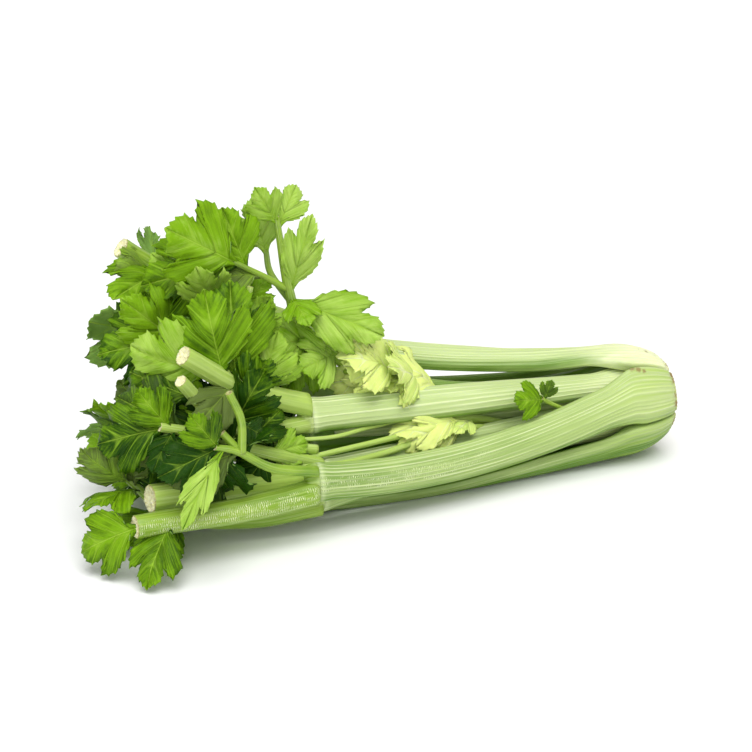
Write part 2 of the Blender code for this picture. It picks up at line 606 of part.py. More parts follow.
def leafy_top(name, stalk, blades):
    """One solid: the collar, the branches and the leaves of a stalk, fused."""
    group = bpy.data.collections.new("pieces of " + name)
    bpy.context.scene.collection.children.link(group)
    edge = stalk.knuckle[0] - GAP
    shapes = [beyond(tube_rings(branch), edge - 0.5) for branch in rooted(BRANCHES[name]).values()]
    for rings in shapes:
        bm = bmesh.new()
        skin(bm, rings)
        piece(group, bm)
    for blade, place in blades:
        points, faces = blade_mesh(blade, place, BLADE_THICK)
        bm = bmesh.new()
        corners = [bm.verts.new(p * MM) for p in points]
        for face in faces:
            bm.faces.new([corners[i] for i in face])
        piece(group, bm)
    bm = bmesh.new()
    skin(bm, collar_rings(stalk))
    colour = HEART_LEAF if stalk.layer is HEART and name != "tucked" else LEAF
    body = solid("leaves_" + name, bm, colour, 0.45)
    join = body.modifiers.new("join", "BOOLEAN")
    join.operation = "UNION"
    join.operand_type = "COLLECTION"
    join.collection = group
    join.solver = "MANIFOLD"
    bm = bmesh.new()
    bm.from_object(body, bpy.context.evaluated_depsgraph_get())
    keep_largest(bm)
    bm.to_mesh(body.data)
    bm.free()
    body.modifiers.clear()
    for part in list(group.objects):
        bpy.data.objects.remove(part)
    bpy.data.collections.remove(group)
    return body


def keep_largest(bm):
    """Drops the slivers that the union leaves beside the one real body."""
    bodies, seen = [], set()
    for start in bm.faces:
        if start in seen:
            continue
        body, edge = {start}, [start]
        while edge:
            near = {f for g in edge for e in g.edges for f in e.link_faces} - body
            body |= near
            edge = list(near)
        seen |= body
        bodies.append(body)
    bodies.sort(key=len)
    for body in bodies[:-1]:
        bmesh.ops.delete(bm, geom=list(body), context="FACES")


def piece(group, bm):
    bmesh.ops.recalc_face_normals(bm, faces=bm.faces[:])
    bmesh.ops.triangulate(bm, faces=bm.faces[:])
    mesh = bpy.data.meshes.new("piece")
    bm.to_mesh(mesh)
    bm.free()
    group.objects.link(bpy.data.objects.new("piece", mesh))


def stand_on_origin(bodies):
    """Parents the whole head to one empty, set so that the middle of its underside is at the origin."""
    corners = [body.matrix_world @ v.co for body in bodies for v in body.data.vertices]
    low = Vector([min(p[i] for p in corners) for i in range(3)])
    high = Vector([max(p[i] for p in corners) for i in range(3)])
    head = bpy.data.objects.new("head", None)
    bpy.context.scene.collection.objects.link(head)
    head.location = (-(low.x + high.x) / 2, -(low.y + high.y) / 2, -low.z)
    for body in bodies:
        body.parent = head


def main():
    for old in list(bpy.data.objects):
        bpy.data.objects.remove(old)
    seated = seat_blades()
    bodies = [crown(), core()]
    for name, stalk in STALKS.items():
        bodies.append(stalk_solid(name, stalk))
        bodies.append(leafy_top(name, stalk, seated.get(name, [])))
    stand_on_origin(bodies)


main()
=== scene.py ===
"""The dressed head of celery: fine stalks, stems, leaves and root crown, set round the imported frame."""

import json
import math
import random
from collections import namedtuple

import bmesh
import bpy
from bpy.props import FloatProperty, FloatVectorProperty, IntProperty, PointerProperty
from mathutils import Matrix, Quaternion, Vector, noise
from mathutils.kdtree import KDTree

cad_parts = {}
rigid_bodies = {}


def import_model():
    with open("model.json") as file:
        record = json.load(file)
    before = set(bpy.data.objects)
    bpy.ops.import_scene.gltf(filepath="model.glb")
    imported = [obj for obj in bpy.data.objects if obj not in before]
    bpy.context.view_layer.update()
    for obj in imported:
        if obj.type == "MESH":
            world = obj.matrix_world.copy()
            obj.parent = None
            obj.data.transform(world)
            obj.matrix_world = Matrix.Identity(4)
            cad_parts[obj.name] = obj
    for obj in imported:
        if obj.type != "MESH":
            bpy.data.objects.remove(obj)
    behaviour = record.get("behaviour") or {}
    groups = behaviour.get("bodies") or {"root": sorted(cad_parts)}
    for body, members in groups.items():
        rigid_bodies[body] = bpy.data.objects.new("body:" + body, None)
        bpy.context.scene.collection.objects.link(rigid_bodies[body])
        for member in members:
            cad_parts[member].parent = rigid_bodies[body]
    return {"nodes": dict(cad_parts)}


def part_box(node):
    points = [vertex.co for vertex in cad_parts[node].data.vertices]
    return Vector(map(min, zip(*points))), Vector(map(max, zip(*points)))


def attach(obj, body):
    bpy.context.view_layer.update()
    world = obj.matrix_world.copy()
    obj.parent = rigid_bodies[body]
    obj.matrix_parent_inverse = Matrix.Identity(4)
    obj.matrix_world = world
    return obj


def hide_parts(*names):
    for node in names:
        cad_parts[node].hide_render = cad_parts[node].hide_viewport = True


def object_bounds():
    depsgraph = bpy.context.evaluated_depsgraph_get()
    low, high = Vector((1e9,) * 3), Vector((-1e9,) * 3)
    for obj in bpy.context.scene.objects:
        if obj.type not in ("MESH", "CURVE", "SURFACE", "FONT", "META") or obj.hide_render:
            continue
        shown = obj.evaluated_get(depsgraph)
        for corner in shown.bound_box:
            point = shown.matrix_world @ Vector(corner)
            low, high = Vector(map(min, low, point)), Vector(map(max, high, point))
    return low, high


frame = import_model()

bl_info = {
    "name": "Head of celery",
    "version": (1, 0, 0),
    "blender": (4, 5, 0),
    "location": "3D View > Sidebar > Celery",
    "description": "Ribbed stalks, leafy tops and a trimmed root crown",
    "category": "Add Mesh",
}

CAD_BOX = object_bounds()
MM = 0.001
GAP = 0.35  # between pieces that touch

# The base of the head
AXIS_Y, AXIS_Z = 8.0, 38.0  # the head's own axis, where it lies on its belly
BUTT_X = 212.0  # the cut root plate
OUTER_END_X = 208.0  # where the outer stalks were cut
CROWN_X = 191.0  # inside face of the crown, where the inner stalks grow from it
CLOSED_X = 182.0  # from here to the butt the stalks close round each other
FLARE_X = 150.0  # where they start to widen towards that
BELLY_X = 172.0  # the widest place
CURL_IN = 0.80  # how far the butt rounds in
CHORD = 0.968  # how far the flat facets of a stalk's inside stand in from their circle
FLOOR_Z = 1.7  # the underside is flattened here by the head's weight
FLOOR_REACH = 60.0  # metres from the head to the floor's edges

# The three rings of stalks at the base: radius to the middle of the wall, wall thickness, and where they end
Layer = namedtuple("Layer", "radius wall end_x")
OUTER = Layer(32.8, 9.0, OUTER_END_X)
INNER = Layer(22.3, 8.4, CROWN_X - GAP)
HEART = Layer(13.0, 7.6, CROWN_X - GAP)
CORE_RADIUS, CORE_END_X = 7.9, -20.0  # the rolled heart in the middle of them

# angle: place round the head's axis, 0 at the back, 90 on top, 180 at the front, 270 below.
# wrap: half of the angle that the stalk takes up round the closed base.
# knuckle: centre of the joint where the leafy top starts; facing: the way its ribbed side looks there.
# widths: across the ribbed side, at the belly and at the knuckle.
# bow: how far the middle leaves the straight line; curl: the radius of the ribbed side at the knuckle.
Stalk = namedtuple("Stalk", "layer angle wrap knuckle facing widths wall bow curl")
STALKS = {
    "front": Stalk(OUTER, 155.5, 32.0, (-54, -60, 40), 172, (28, 24), 9.0, (-3, -14), 16),
    "top": Stalk(OUTER, 81, 40.6, (2, 38, 86.5), 112, (31, 25), 9.0, (6, -4.5), 16),
    "bottom": Stalk(OUTER, 227.6, 38.0, (-42, -13, 5.4), 266, (31, 25), 9.0, (-0.5, -5.0), 19),
    "back": Stalk(OUTER, 6, 33.0, (-46, 55, 58), 12, (31, 25), 9.0, (1, -3), 17),
    "middle": Stalk(INNER, 128.5, 37.5, (-46, -22, 68), 142, (18.4, 23), 8.6, (0.8, 1), 14),
    "front_low": Stalk(INNER, 214, 37.0, (-46, -43, 18.5), 215, (20, 17), 6.8, (-3, 3), 13),
    "back_low": Stalk(OUTER, 299.5, 32.0, (-40, 32, 13), 300, (30, 24), 9.0, (1, -5), 17),
    "rising": Stalk(INNER, 43.5, 45.0, (-8, 10, 81), 60, (21, 19), 7.6, (6, -12), 12),
    "inner": Stalk(INNER, 301, 43.0, (-34, 18, 32), 300, (22, 19), 7.6, (0, 0), 13),
    "tucked": Stalk(HEART, 187, 45.0, (-42, -36, 33.5), 172, (19, 21), 7.6, (2, -3), 13),
    "sprig": Stalk(INNER, 172, 4.2, (134, -15.5, 43), 172, (3.4, 3.2), 3.0, (0, 0), 4),
    "lime": Stalk(HEART, 62, 45.0, (50, 4, 57), 90, (15, 12), 6.0, (-1, -2), 8),
    "deep": Stalk(HEART, 304, 70.0, (96, 0, 30), 250, (15, 10), 5.4, (0, 0), 8),
}

# A branch of a leafy top: its route, its radius at the start and the end, and the branch it grows out of
# when that isn't the knuckle.
Branch = namedtuple("Branch", "route radii parent", defaults=[None])

# The ways that most leaves face
CAMERA_SIDE = (-0.3, -0.85, 0.35)
TOP_SIDE = (-0.1, -0.45, 0.9)
LEFT_SIDE = (-0.8, -0.5, 0.3)
BACK_SIDE = (-0.3, 0.9, 0.4)
# A leaf: the branch that it grows on, how far along, where its tip points, its width as a share of its
# length, its arch, its cup and the way it faces.
Blade = namedtuple("Blade", "branch along tip broad arch cup facing", defaults=[CAMERA_SIDE])

BRANCHES = {
    "front": {
        "rachis": Branch([(-50, -59, 35), (-100, -66, 33), (-166, -73, 35)], (8.0, 6.6)),
        "thin": Branch([(-50, -61, 47), (-84, -71, 58), (-106, -75, 73), (-121, -81, 80)], (3.4, 1.7)),
        "shoot": Branch([(-103, -75, 71), (-104, -76, 92), (-111, -78, 110)], (2.6, 2.2), "thin"),
        "spur": Branch([(-103, -75, 70), (-114, -72, 84)], (2.4, 2.2), "thin"),
    },
    "top": {
        "rachis": Branch([(7, 37, 88), (-45, 42, 109), (-84, 45, 126)], (7.4, 6.4)),
        "side": Branch([(-28, 40, 102), (-62, 24, 116), (-98, 4, 136)], (3.0, 1.8), "rachis"),
    },
    "bottom": {
        "rachis": Branch([(-38, -13, 7.5), (-90, -20, 9), (-132, -24, 12)], (6.0, 4.6)),
        "side": Branch([(-38, -8, 7), (-86, 6, 8), (-120, 16, 12)], (3.4, 2.0)),
    },
    "back": {
        "rachis": Branch([(-41, 56, 58), (-73, 59, 89), (-103, 56, 130), (-141, 50, 162)], (7.4, 6.4)),
        "side": Branch([(-86, 60, 104), (-104, 34, 112), (-118, 8, 112)], (2.8, 1.8), "rachis"),
        "rear": Branch([(-41, 57, 54), (-76, 72, 66), (-112, 80, 84)], (3.4, 1.8)),
    },
    "middle": {
        "rachis": Branch([(-41, -22, 72), (-89, -30, 93), (-127, -40, 121)], (7.2, 5.8)),
        "low": Branch([(-41, -22, 63), (-90, -31, 66), (-113, -39, 86), (-131, -48, 109)], (5.6, 3.8)),
        "shoot": Branch([(-72, -27, 86), (-84, -10, 118), (-77, -6, 147)], (2.6, 2.0), "rachis"),
    },
    "front_low": {
        "rachis": Branch([(-42, -43, 17), (-90, -43, 14), (-134, -38, 21), (-160, -24, 44)], (5.6, 2.2)),
    },
    "back_low": {
        "rachis": Branch([(-36, 30, 14), (-90, 18, 34), (-136, 6, 62)], (5.6, 2.2)),
        "side": Branch([(-36, 34, 15), (-86, 40, 28), (-128, 46, 34)], (3.4, 1.8)),
    },
    "rising": {
        "rachis": Branch([(-4, 10, 80), (-38, 11, 110), (-49, 8, 138), (-56, 8, 184)], (5.4, 1.9)),
        "left": Branch([(-48, 8, 137), (-64, 7, 148), (-84, 5, 160)], (2.4, 1.6), "rachis"),
        "pale": Branch([(-52, 11, 130), (-57, 18, 146), (-59, 21, 160)], (2.4, 1.7), "rachis"),
    },
    "inner": {
        "stub": Branch([(-30, 18, 33), (-76, 22, 42), (-100, 20, 54)], (4.8, 3.4)),
    },
    "tucked": {
        "stub": Branch([(-38, -36, 33), (-95, -45, 38), (-153, -56, 43)], (7.8, 8.3)),
        "long": Branch([(-38, -37, 39), (-86, -44, 59), (-122, -46, 75), (-144, -48, 83)], (4.2, 2.8)),
    },
    "sprig": {
        "stem": Branch([(136, -15.5, 43), (124, -16.5, 48), (114, -19.5, 54), (106, -25, 60)], (1.5, 1.2)),
    },
    "lime": {
        "stem": Branch([(54, 2, 58), (36, 3, 68), (14, 2, 80)], (3.6, 1.8)),
    },
    "deep": {
        "stem": Branch([(100, 0, 31), (80, -3, 40), (54, -13, 47)], (2.8, 1.6)),
    },
}

BLADES = {
    "front": [
        Blade("thin", 1.0, (-136, -85, 104), 0.8, 0.1, 0.4),
        Blade("thin", 0.86, (-144, -93, 38), 0.34, 0.14, -0.9, (-0.5, -0.8, 0.2)),
        Blade("thin", 0.94, (-154, -80, 66), 0.75, 0.08, 0.4),
        Blade("rachis", 0.97, (-194, -52, 14), 0.85, 0.1, 0.4, LEFT_SIDE),
        Blade("rachis", 0.84, (-166, -92, 5), 0.7, 0.12, 0.5, (-0.3, -0.5, 0.8)),
        Blade("thin", 0.66, (-149, -76, 62), 0.8, 0.08, 0.4),
        Blade("shoot", 0.45, (-90, -66, 78), 0.8, 0.08, 0.4),
    ],
    "rising": [
        Blade("rachis", 0.6, (6, -10, 108), 0.6, 0.12, 0.5),
        Blade("left", 1.0, (-126, 0, 186), 0.95, 0.1, 0.4),
        Blade("left", 0.8, (-88, 12, 192), 0.85, 0.08, 0.4),
        Blade("left", 0.55, (-96, -2, 142), 0.85, 0.1, 0.4, (-0.1, -0.6, 0.8)),
        Blade("rachis", 0.64, (-36, 0, 186), 0.46, 0.06, -0.7),
        Blade("rachis", 0.97, (-70, 4, 204), 0.8, 0.06, 0.4),
        Blade("rachis", 0.95, (-40, 18, 200), 0.8, 0.06, 0.4),
        Blade("pale", 1.0, (-66, 26, 192), 0.85, 0.08, 0.4),
        Blade("rachis", 0.61, (-44, -16, 122), 0.9, 0.1, 0.4, TOP_SIDE),
        Blade("rachis", 0.14, (-50, -14, 94), 0.85, 0.1, 0.4),
        Blade("rachis", 0.26, (-70, -6, 110), 0.85, 0.08, 0.4),
    ],
    "middle": [
        Blade("rachis", 0.66, (-112, -33, 157), 0.8, 0.06, 0.3),
        Blade("rachis", 0.56, (-92, -16, 156), 0.8, 0.08, 0.4),
        Blade("shoot", 0.45, (-66, -12, 142), 0.85, 0.08, 0.4),
        Blade("rachis", 0.4, (-66, -24, 124), 0.85, 0.08, 0.4),
        Blade("rachis", 0.52, (-78, -48, 116), 0.9, 0.08, 0.3, (-0.1, -0.9, 0.2)),
        Blade("rachis", 0.74, (-152, -14, 122), 0.95, 0.12, 0.5, (-0.6, -0.75, 0.1)),
        Blade("low", 0.6, (-142, -20, 98), 0.9, 0.12, 0.5, (-0.5, -0.85, 0.1)),
        Blade("low", 0.7, (-122, -62, 74), 0.8, 0.08, 0.4, (-0.2, -0.9, 0.2)),
        Blade("rachis", 0.58, (-128, -62, 84), 0.6, 0.1, 0.5),
        Blade("low", 0.42, (-80, -46, 110), 0.75, 0.08, 0.4),
        Blade("low", 0.5, (-128, -20, 88), 0.9, 0.08, 0.4),
    ],
    "back": [
        Blade("rachis", 0.84, (-148, 30, 154), 0.8, 0.08, 0.4),
        Blade("rachis", 0.66, (-80, 40, 178), 0.85, 0.08, 0.4),
        Blade("side", 1.0, (-152, 6, 144), 0.8, 0.08, 0.5),
        Blade("side", 0.9, (-166, 14, 108), 0.9, 0.1, 0.4, LEFT_SIDE),
        Blade("rear", 1.0, (-160, 70, 112), 0.9, 0.1, 0.4, BACK_SIDE),
        Blade("rear", 0.85, (-120, 84, 140), 0.9, 0.08, 0.4, BACK_SIDE),
        Blade("rear", 0.75, (-130, 86, 62), 0.9, 0.1, 0.4, BACK_SIDE),
        Blade("rachis", 0.78, (-116, 80, 166), 0.9, 0.08, 0.4, BACK_SIDE),
    ],
    "top": [
        Blade("side", 1.0, (-101, 8, 170), 0.9, 0.06, 0.3),
        Blade("side", 0.75, (-62, 8, 148), 0.8, 0.08, 0.4),
        Blade("side", 0.9, (-130, 16, 166), 0.85, 0.08, 0.4),
        Blade("rachis", 0.9, (-112, 60, 112), 0.9, 0.1, 0.4, BACK_SIDE),
    ],
    "tucked": [
        Blade("long", 0.86, (-152, -60, 60), 0.9, 0.12, 0.7, (-0.5, -0.8, 0.4)),
        Blade("long", 0.9, (-156, -44, 106), 0.85, 0.08, 0.4),
        Blade("long", 0.7, (-144, -62, 62), 0.85, 0.08, 0.4),
        Blade("long", 0.94, (-178, -30, 70), 0.9, 0.1, 0.4, LEFT_SIDE),
        Blade("long", 0.6, (-136, -66, 64), 0.8, 0.08, 0.4),
        Blade("long", 0.45, (-112, -34, 84), 0.9, 0.08, 0.4),
        Blade("long", 0.28, (-52, -36, 56), 0.8, 0.08, 0.4),
    ],
    "front_low": [
        Blade("rachis", 1.0, (-188, -30, 64), 0.9, 0.1, 0.4, LEFT_SIDE),
        Blade("rachis", 0.9, (-186, -52, 38), 0.9, 0.1, 0.5, LEFT_SIDE),
        Blade("rachis", 0.94, (-164, -40, 92), 0.9, 0.08, 0.4, LEFT_SIDE),
        Blade("rachis", 0.66, (-158, -60, 3), 0.8, 0.1, 0.4, (-0.3, -0.5, 0.8)),
    ],
    "back_low": [
        Blade("rachis", 1.0, (-174, -10, 90), 0.95, 0.1, 0.4, LEFT_SIDE),
        Blade("rachis", 0.88, (-176, 18, 44), 0.9, 0.12, 0.5, LEFT_SIDE),
        Blade("rachis", 0.9, (-150, 34, 84), 0.9, 0.08, 0.4, LEFT_SIDE),
        Blade("rachis", 0.66, (-96, -10, 94), 0.9, 0.08, 0.4),
        Blade("rachis", 0.46, (-72, -8, 72), 0.9, 0.08, 0.4),
        Blade("side", 1.0, (-174, 56, 44), 0.9, 0.12, 0.5, (-0.5, 0.5, 0.7)),
        Blade("side", 0.85, (-134, 86, 20), 0.9, 0.12, 0.5, (0.0, 0.3, 0.95)),
        Blade("side", 0.8, (-144, 66, 4), 0.9, 0.1, 0.4, (-0.3, 0.4, 0.85)),
    ],
    "bottom": [
        Blade("rachis", 1.0, (-176, -34, 8), 0.9, 0.14, 0.6, (-0.2, -0.1, 1.0)),
        Blade("rachis", 0.85, (-158, 2, 4), 0.85, 0.12, 0.5, (-0.1, 0.0, 1.0)),
        Blade("side", 1.0, (-156, 36, 4), 0.9, 0.14, 0.6, (-0.1, 0.2, 1.0)),
    ],
    "lime": [
        Blade("stem", 1.0, (-30, -4, 84), 0.95, 0.12, 0.5, (-0.1, -0.5, 0.85)),
        Blade("stem", 0.8, (-22, 6, 98), 0.7, 0.1, 0.4),
        Blade("stem", 0.6, (-8, -14, 82), 0.9, 0.12, 0.5, (-0.1, -0.7, 0.7)),
    ],
    "deep": [
        Blade("stem", 1.0, (20, -20, 46), 0.7, 0.1, 0.4, TOP_SIDE),
        Blade("stem", 0.7, (30, -16, 52), 0.6, 0.1, 0.4, TOP_SIDE),
        Blade("stem", 0.8, (50, -27, 54), 0.7, 0.1, 0.4, TOP_SIDE),
    ],
    "sprig": [
        Blade("stem", 1.0, (84, -31, 63), 0.95, 0.1, 0.4),
        Blade("stem", 0.9, (112, -26, 72), 0.8, 0.1, 0.4),
    ],
}

# Smaller leaves between those, which the imported solids leave out, and how light each is painted, as painted
# light and shade on the same scale as the leaves' own
FILLERS = {
    "back": [
        (Blade("side", 0.5, (-137, 0, 113), 0.9, 0.1, 0.4), 0.5),
        (Blade("side", 0.81, (-118, -12, 88), 0.95, 0.08, 0.4), 0.1),
        (Blade("rachis", 0.79, (-155, 15, 141), 0.7, 0.1, 0.5), 0.9),
    ],
    "middle": [
        (Blade("low", 0.79, (-152, -5, 103), 0.9, 0.1, 0.4), 0.4),
        (Blade("low", 0.42, (-141, -30, 89), 0.9, 0.1, 0.5), 0.0),
        (Blade("low", 0.58, (-149, -35, 69), 0.95, 0.08, 0.4), 0.2),
        (Blade("rachis", 0.31, (-59, 5, 101), 0.9, 0.08, 0.4), 1.2),
    ],
    "tucked": [
        (Blade("long", 0.75, (-162, -15, 92), 0.9, 0.1, 0.4), 0.3),
        (Blade("long", 0.25, (-96, -18, 81), 0.95, 0.08, 0.4), 0.1),
        (Blade("stub", 0.88, (-110, -40, 66), 0.95, 0.08, 0.4), 0.1),
        (Blade("long", 0.75, (-162, -30, 57), 0.9, 0.1, 0.4), 0.4),
        (Blade("long", 0.28, (-96, -44, 36), 0.9, 0.1, 0.4), 0.2),
        (Blade("long", 0.4, (-66, -30, 78), 0.7, 0.1, 0.5), 0.4),
    ],
    "front": [
        (Blade("rachis", 0.56, (-138, -40, 47), 0.9, 0.08, 0.4), 0.1),
        (Blade("thin", 0.75, (-114, -52, 42), 0.95, 0.08, 0.4), 0.1),
        (Blade("thin", 0.58, (-92, -35, 68), 0.9, 0.08, 0.4), 0.2),
    ],
    "front_low": [
        (Blade("rachis", 1.0, (-129, -45, 64), 0.95, 0.08, 0.4), 0.1),
    ],
    "back_low": [
        (Blade("rachis", 1.0, (-164, -25, 74), 0.9, 0.1, 0.4), 0.5),
        (Blade("rachis", 0.3, (-82, -12, 62), 0.95, 0.08, 0.4), 0.2),
    ],
    "top": [
        (Blade("side", 0.94, (-82, -8, 95), 0.9, 0.08, 0.4), 0.2),
        (Blade("rachis", 0.56, (-29, 15, 94), 0.85, 0.1, 0.4, TOP_SIDE), 1.6),
        (Blade("side", 0.45, (-52, 0, 92), 0.9, 0.1, 0.4), 1.2),
    ],
    "rising": [
        (Blade("left", 1.0, (-138, 15, 148), 0.8, 0.1, 0.4), 0.8),
        (Blade("rachis", 0.5, (-44, 5, 84), 0.85, 0.1, 0.5), 1.7),
        (Blade("rachis", 0.25, (-55, 0, 76), 0.9, 0.1, 0.4), 1.4),
    ],
    "inner": [
        (Blade("stub", 0.8, (-71, -5, 76), 0.9, 0.08, 0.4), 0.3),
        (Blade("stub", 0.9, (-46, 2, 74), 0.95, 0.08, 0.4), 0.1),
        (Blade("stub", 0.4, (-88, -16, 40), 0.9, 0.08, 0.4), 0.1),
        (Blade("stub", 0.3, (-78, -20, 62), 0.9, 0.08, 0.4), 0.3),
    ],
    "lime": [
        (Blade("stem", 1.0, (-26, 5, 76), 0.9, 0.08, 0.4), 1.9),
        (Blade("stem", 0.19, (15, -6, 81), 0.8, 0.1, 0.5, TOP_SIDE), 2.0),
        (Blade("stem", 0.45, (0, -10, 78), 0.9, 0.1, 0.7, TOP_SIDE), 2.0),
        (Blade("stem", 0.9, (-20, -10, 92), 0.9, 0.1, 0.5), 1.6),
        (Blade("stem", 0.25, (9, 0, 90), 0.8, 0.1, 0.4, TOP_SIDE), 1.9),
        (Blade("stem", 0.62, (-13, -4, 80), 0.85, 0.1, 0.5, TOP_SIDE), 1.8),
    ],
    "deep": [
        (Blade("stem", 1.0, (4, -22, 46), 0.6, 0.1, 0.5, TOP_SIDE), 2.0),
        (Blade("stem", 1.0, (13, -18, 50), 0.6, 0.1, 0.4), 1.9),
        (Blade("stem", 0.9, (9, -27, 42), 0.6, 0.1, 0.4), 1.7),
    ],
}

# Half of the outline of the frame's leaves from root to tip, as shares of the length: the place on the
# midrib that the vein to this point leaves, how far along, and how far out.
HALF_OUTLINE = [
    (0.00, 0.00, 0.035),
    (0.16, 0.25, 0.16),
    (0.16, 0.40, 0.40),
    (0.16, 0.60, 0.50),
    (0.36, 0.79, 0.46),
    (0.36, 0.64, 0.16),
    (0.60, 0.84, 0.24),
    (1.00, 1.00, 0.00),
]
# The same for the finished leaves, whose lobes are fuller and whose notches are softer
LEAF_EDGE = [
    (0.00, 0.00, 0.03),
    (0.14, 0.21, 0.15),
    (0.14, 0.36, 0.41),
    (0.14, 0.58, 0.53),
    (0.34, 0.80, 0.46),
    (0.36, 0.69, 0.22),
    (0.60, 0.87, 0.26),
    (1.00, 1.00, 0.00),
]
VEINED = (2, 3, 4, 6, 7)  # the corners of that outline that a side vein runs to
# The teeth on each of its edges: how far along the edge, and how far out from it
TEETH = (
    ((0.25, -0.010), (0.50, -0.016), (0.75, -0.010)),
    ((0.28, 0.012), (0.47, 0.034), (0.55, 0.000), (0.78, 0.006)),
    ((0.13, -0.026), (0.34, -0.006), (0.52, 0.024), (0.61, -0.020), (0.82, -0.008)),
    ((0.14, -0.028), (0.34, -0.006), (0.54, 0.022), (0.63, -0.020), (0.84, -0.006)),
    ((0.12, -0.016), (0.34, -0.004), (0.46, 0.020), (0.54, -0.008), (0.80, 0.000)),
    ((0.24, 0.004), (0.46, 0.026), (0.55, -0.010), (0.80, -0.004)),
    ((0.09, -0.026), (0.24, -0.006), (0.38, 0.020), (0.45, -0.016), (0.58, 0.000), (0.70, 0.020),
     (0.77, -0.012), (0.88, 0.000)),
)
# Thin stems behind the front stalk and behind the leaves, which the solids leave out too
THREADS = {
    "deep": [
        Branch([(98, 0, 34), (60, -10, 47), (10, -24, 47), (-36, -34, 47), (-72, -36, 44)], (2.2, 1.6)),
        Branch([(98, -2, 32), (50, -18, 44), (0, -30, 40), (-38, -42, 42), (-70, -42, 46)], (2.4, 2.0)),
        Branch([(98, 2, 34), (40, -8, 52), (-6, -20, 54), (-36, -30, 55), (-72, -30, 58)], (1.6, 1.2)),
    ],
    "tucked": [Branch([(-46, -34, 50), (-70, -34, 56), (-96, -36, 62), (-124, -42, 60)], (3.0, 2.2))],
    "inner": [Branch([(-38, 6, 50), (-66, -6, 62), (-96, -14, 74)], (3.4, 2.2))],
}
ROOTED = 3.0  # how deep a leaf at the end of a branch sits in it
CAD_BLADE = 0.8  # thickness of the frame's leaves
CUT_STEM = 3.3  # a stem with a larger radius at its root has more ribs, and more pith in its cut end
THICK_STEM = 4.0  # one with a larger radius than this has the thick stems' skin
THREAD_TONE = 0.8  # how pale the thin stems of the table above are

# Where the crown's own corners are in the frame gives the shift from the tables to the frame
LOW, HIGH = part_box("crown")
SHIFT = Vector(
    (HIGH[0] - BUTT_X * MM, (LOW[1] + HIGH[1]) / 2 - AXIS_Y * MM, (LOW[2] + HIGH[2]) / 2 - AXIS_Z * MM)
)


def framed(point):
    """A point of the tables, in millimetres, as metres in the frame."""
    return Vector(point) * MM + SHIFT


# Sizes and colours


def colour(name, description, default):
    return FloatVectorProperty(
        name=name, description=description, default=default, subtype="COLOR", size=3, min=0.0, max=1.0
    )


class StalkLook(bpy.types.PropertyGroup):
    ribs: IntProperty(name="Ribs", description="Ridges across the outside of an outer stalk", default=12)
    rib_height: FloatProperty(
        name="Rib height", description="How far the ridges stand up", default=0.00065, unit="LENGTH"
    )
    base: colour("Base", "The blanched foot of the stalks", (0.92, 0.94, 0.60))
    green: colour("Green", "The flesh between the ribs", (0.39, 0.52, 0.165))
    stem: colour("Stem green", "The stems that part at the knuckles", (0.37, 0.54, 0.060))
    # Deep green is the stalk's own greener flesh towards the leaves, and also painted shade along the shadier
    # edges and in the hollows of the darker stalks.
    deep: colour("Deep green", "Towards the leaves and along the lower edges", (0.10, 0.23, 0.003))
    rib: colour("Ribs", "The pale strings along the stalk", (0.88, 0.95, 0.58))
    pith: colour("Pith", "Where a stem was cut", (0.72, 0.66, 0.36))
    dried: colour("Dried", "Bruised and dried edges", (0.26, 0.17, 0.06))


class LeafLook(bpy.types.PropertyGroup):
    thickness: FloatProperty(
        name="Thickness", description="Thickness of a leaf", default=0.00045, unit="LENGTH"
    )
    # dark and bright are painted shade and painted light, for leaves in the shade of the mass and leaves in the
    # light; pale is the young leaves' colour and also painted light for leaves lit through.
    dark: colour("Dark", "Old leaves in the shade", (0.011, 0.050, 0.0004))
    bright: colour("Bright", "Leaves in the light", (0.19, 0.38, 0.005))
    pale: colour("Pale", "Young leaves", (0.44, 0.63, 0.12))
    heart: colour("Heart", "The leaves at the heart", (0.72, 0.84, 0.24))
    vein: colour("Veins", "The veins of a leaf", (0.34, 0.54, 0.05))
    under: colour("Underside", "The matt underside", (0.20, 0.36, 0.07))


class CrownLook(bpy.types.PropertyGroup):
    flesh: colour("Flesh", "The cut root plate", (0.88, 0.87, 0.58))
    strings: colour("Strings", "The ends of the strings in the cut", (0.62, 0.68, 0.30))


class StageLook(bpy.types.PropertyGroup):
    floor: colour("Floor", "The sheet that the head lies on", (0.95, 0.95, 0.95))
    key: FloatProperty(name="Overhead light", description="Strength of the wide light above", default=2.30)
    fill: FloatProperty(
        name="Front light", description="Power of the light at the front", default=6.0, unit="POWER"
    )
    sky: FloatProperty(name="Sky", description="Brightness all round", default=0.52)
    distance: FloatProperty(
        name="Camera distance", description="From the camera to the head", default=1.10, unit="LENGTH"
    )


# Shader recipes


class Field:
    """A number that changes over a surface. Sums and products of fields add their own Math nodes."""

    def __init__(self, recipe, socket):
        self.recipe = recipe
        self.socket = socket

    def math(self, operation, *values):
        return self.recipe.number("ShaderNodeMath", {"operation": operation}, dict(enumerate(values)))

    def __add__(self, other):
        return self.math("ADD", self, other)

    __radd__ = __add__

    def __sub__(self, other):
        return self.math("SUBTRACT", self, other)

    def __rsub__(self, other):
        return self.math("SUBTRACT", other, self)

    def __mul__(self, other):
        return self.math("MULTIPLY", self, other)

    __rmul__ = __mul__

    def __pow__(self, other):
        return self.math("POWER", self, other)

    def __abs__(self):
        return self.math("ABSOLUTE", self)

    def sine(self):
        return self.math("SINE", self)

    def at_most(self, other):
        return self.math("MINIMUM", self, other)

    def at_least(self, other):
        return self.math("MAXIMUM", self, other)

    def rise(self, start, end, low=0.0, high=1.0):
        """Eases from low to high while the field goes from start to end."""
        return self.recipe.number(
            "ShaderNodeMapRange",
            {"interpolation_type": "SMOOTHSTEP"},
            {"Value": self, "From Min": start, "From Max": end, "To Min": low, "To Max": high},
        )


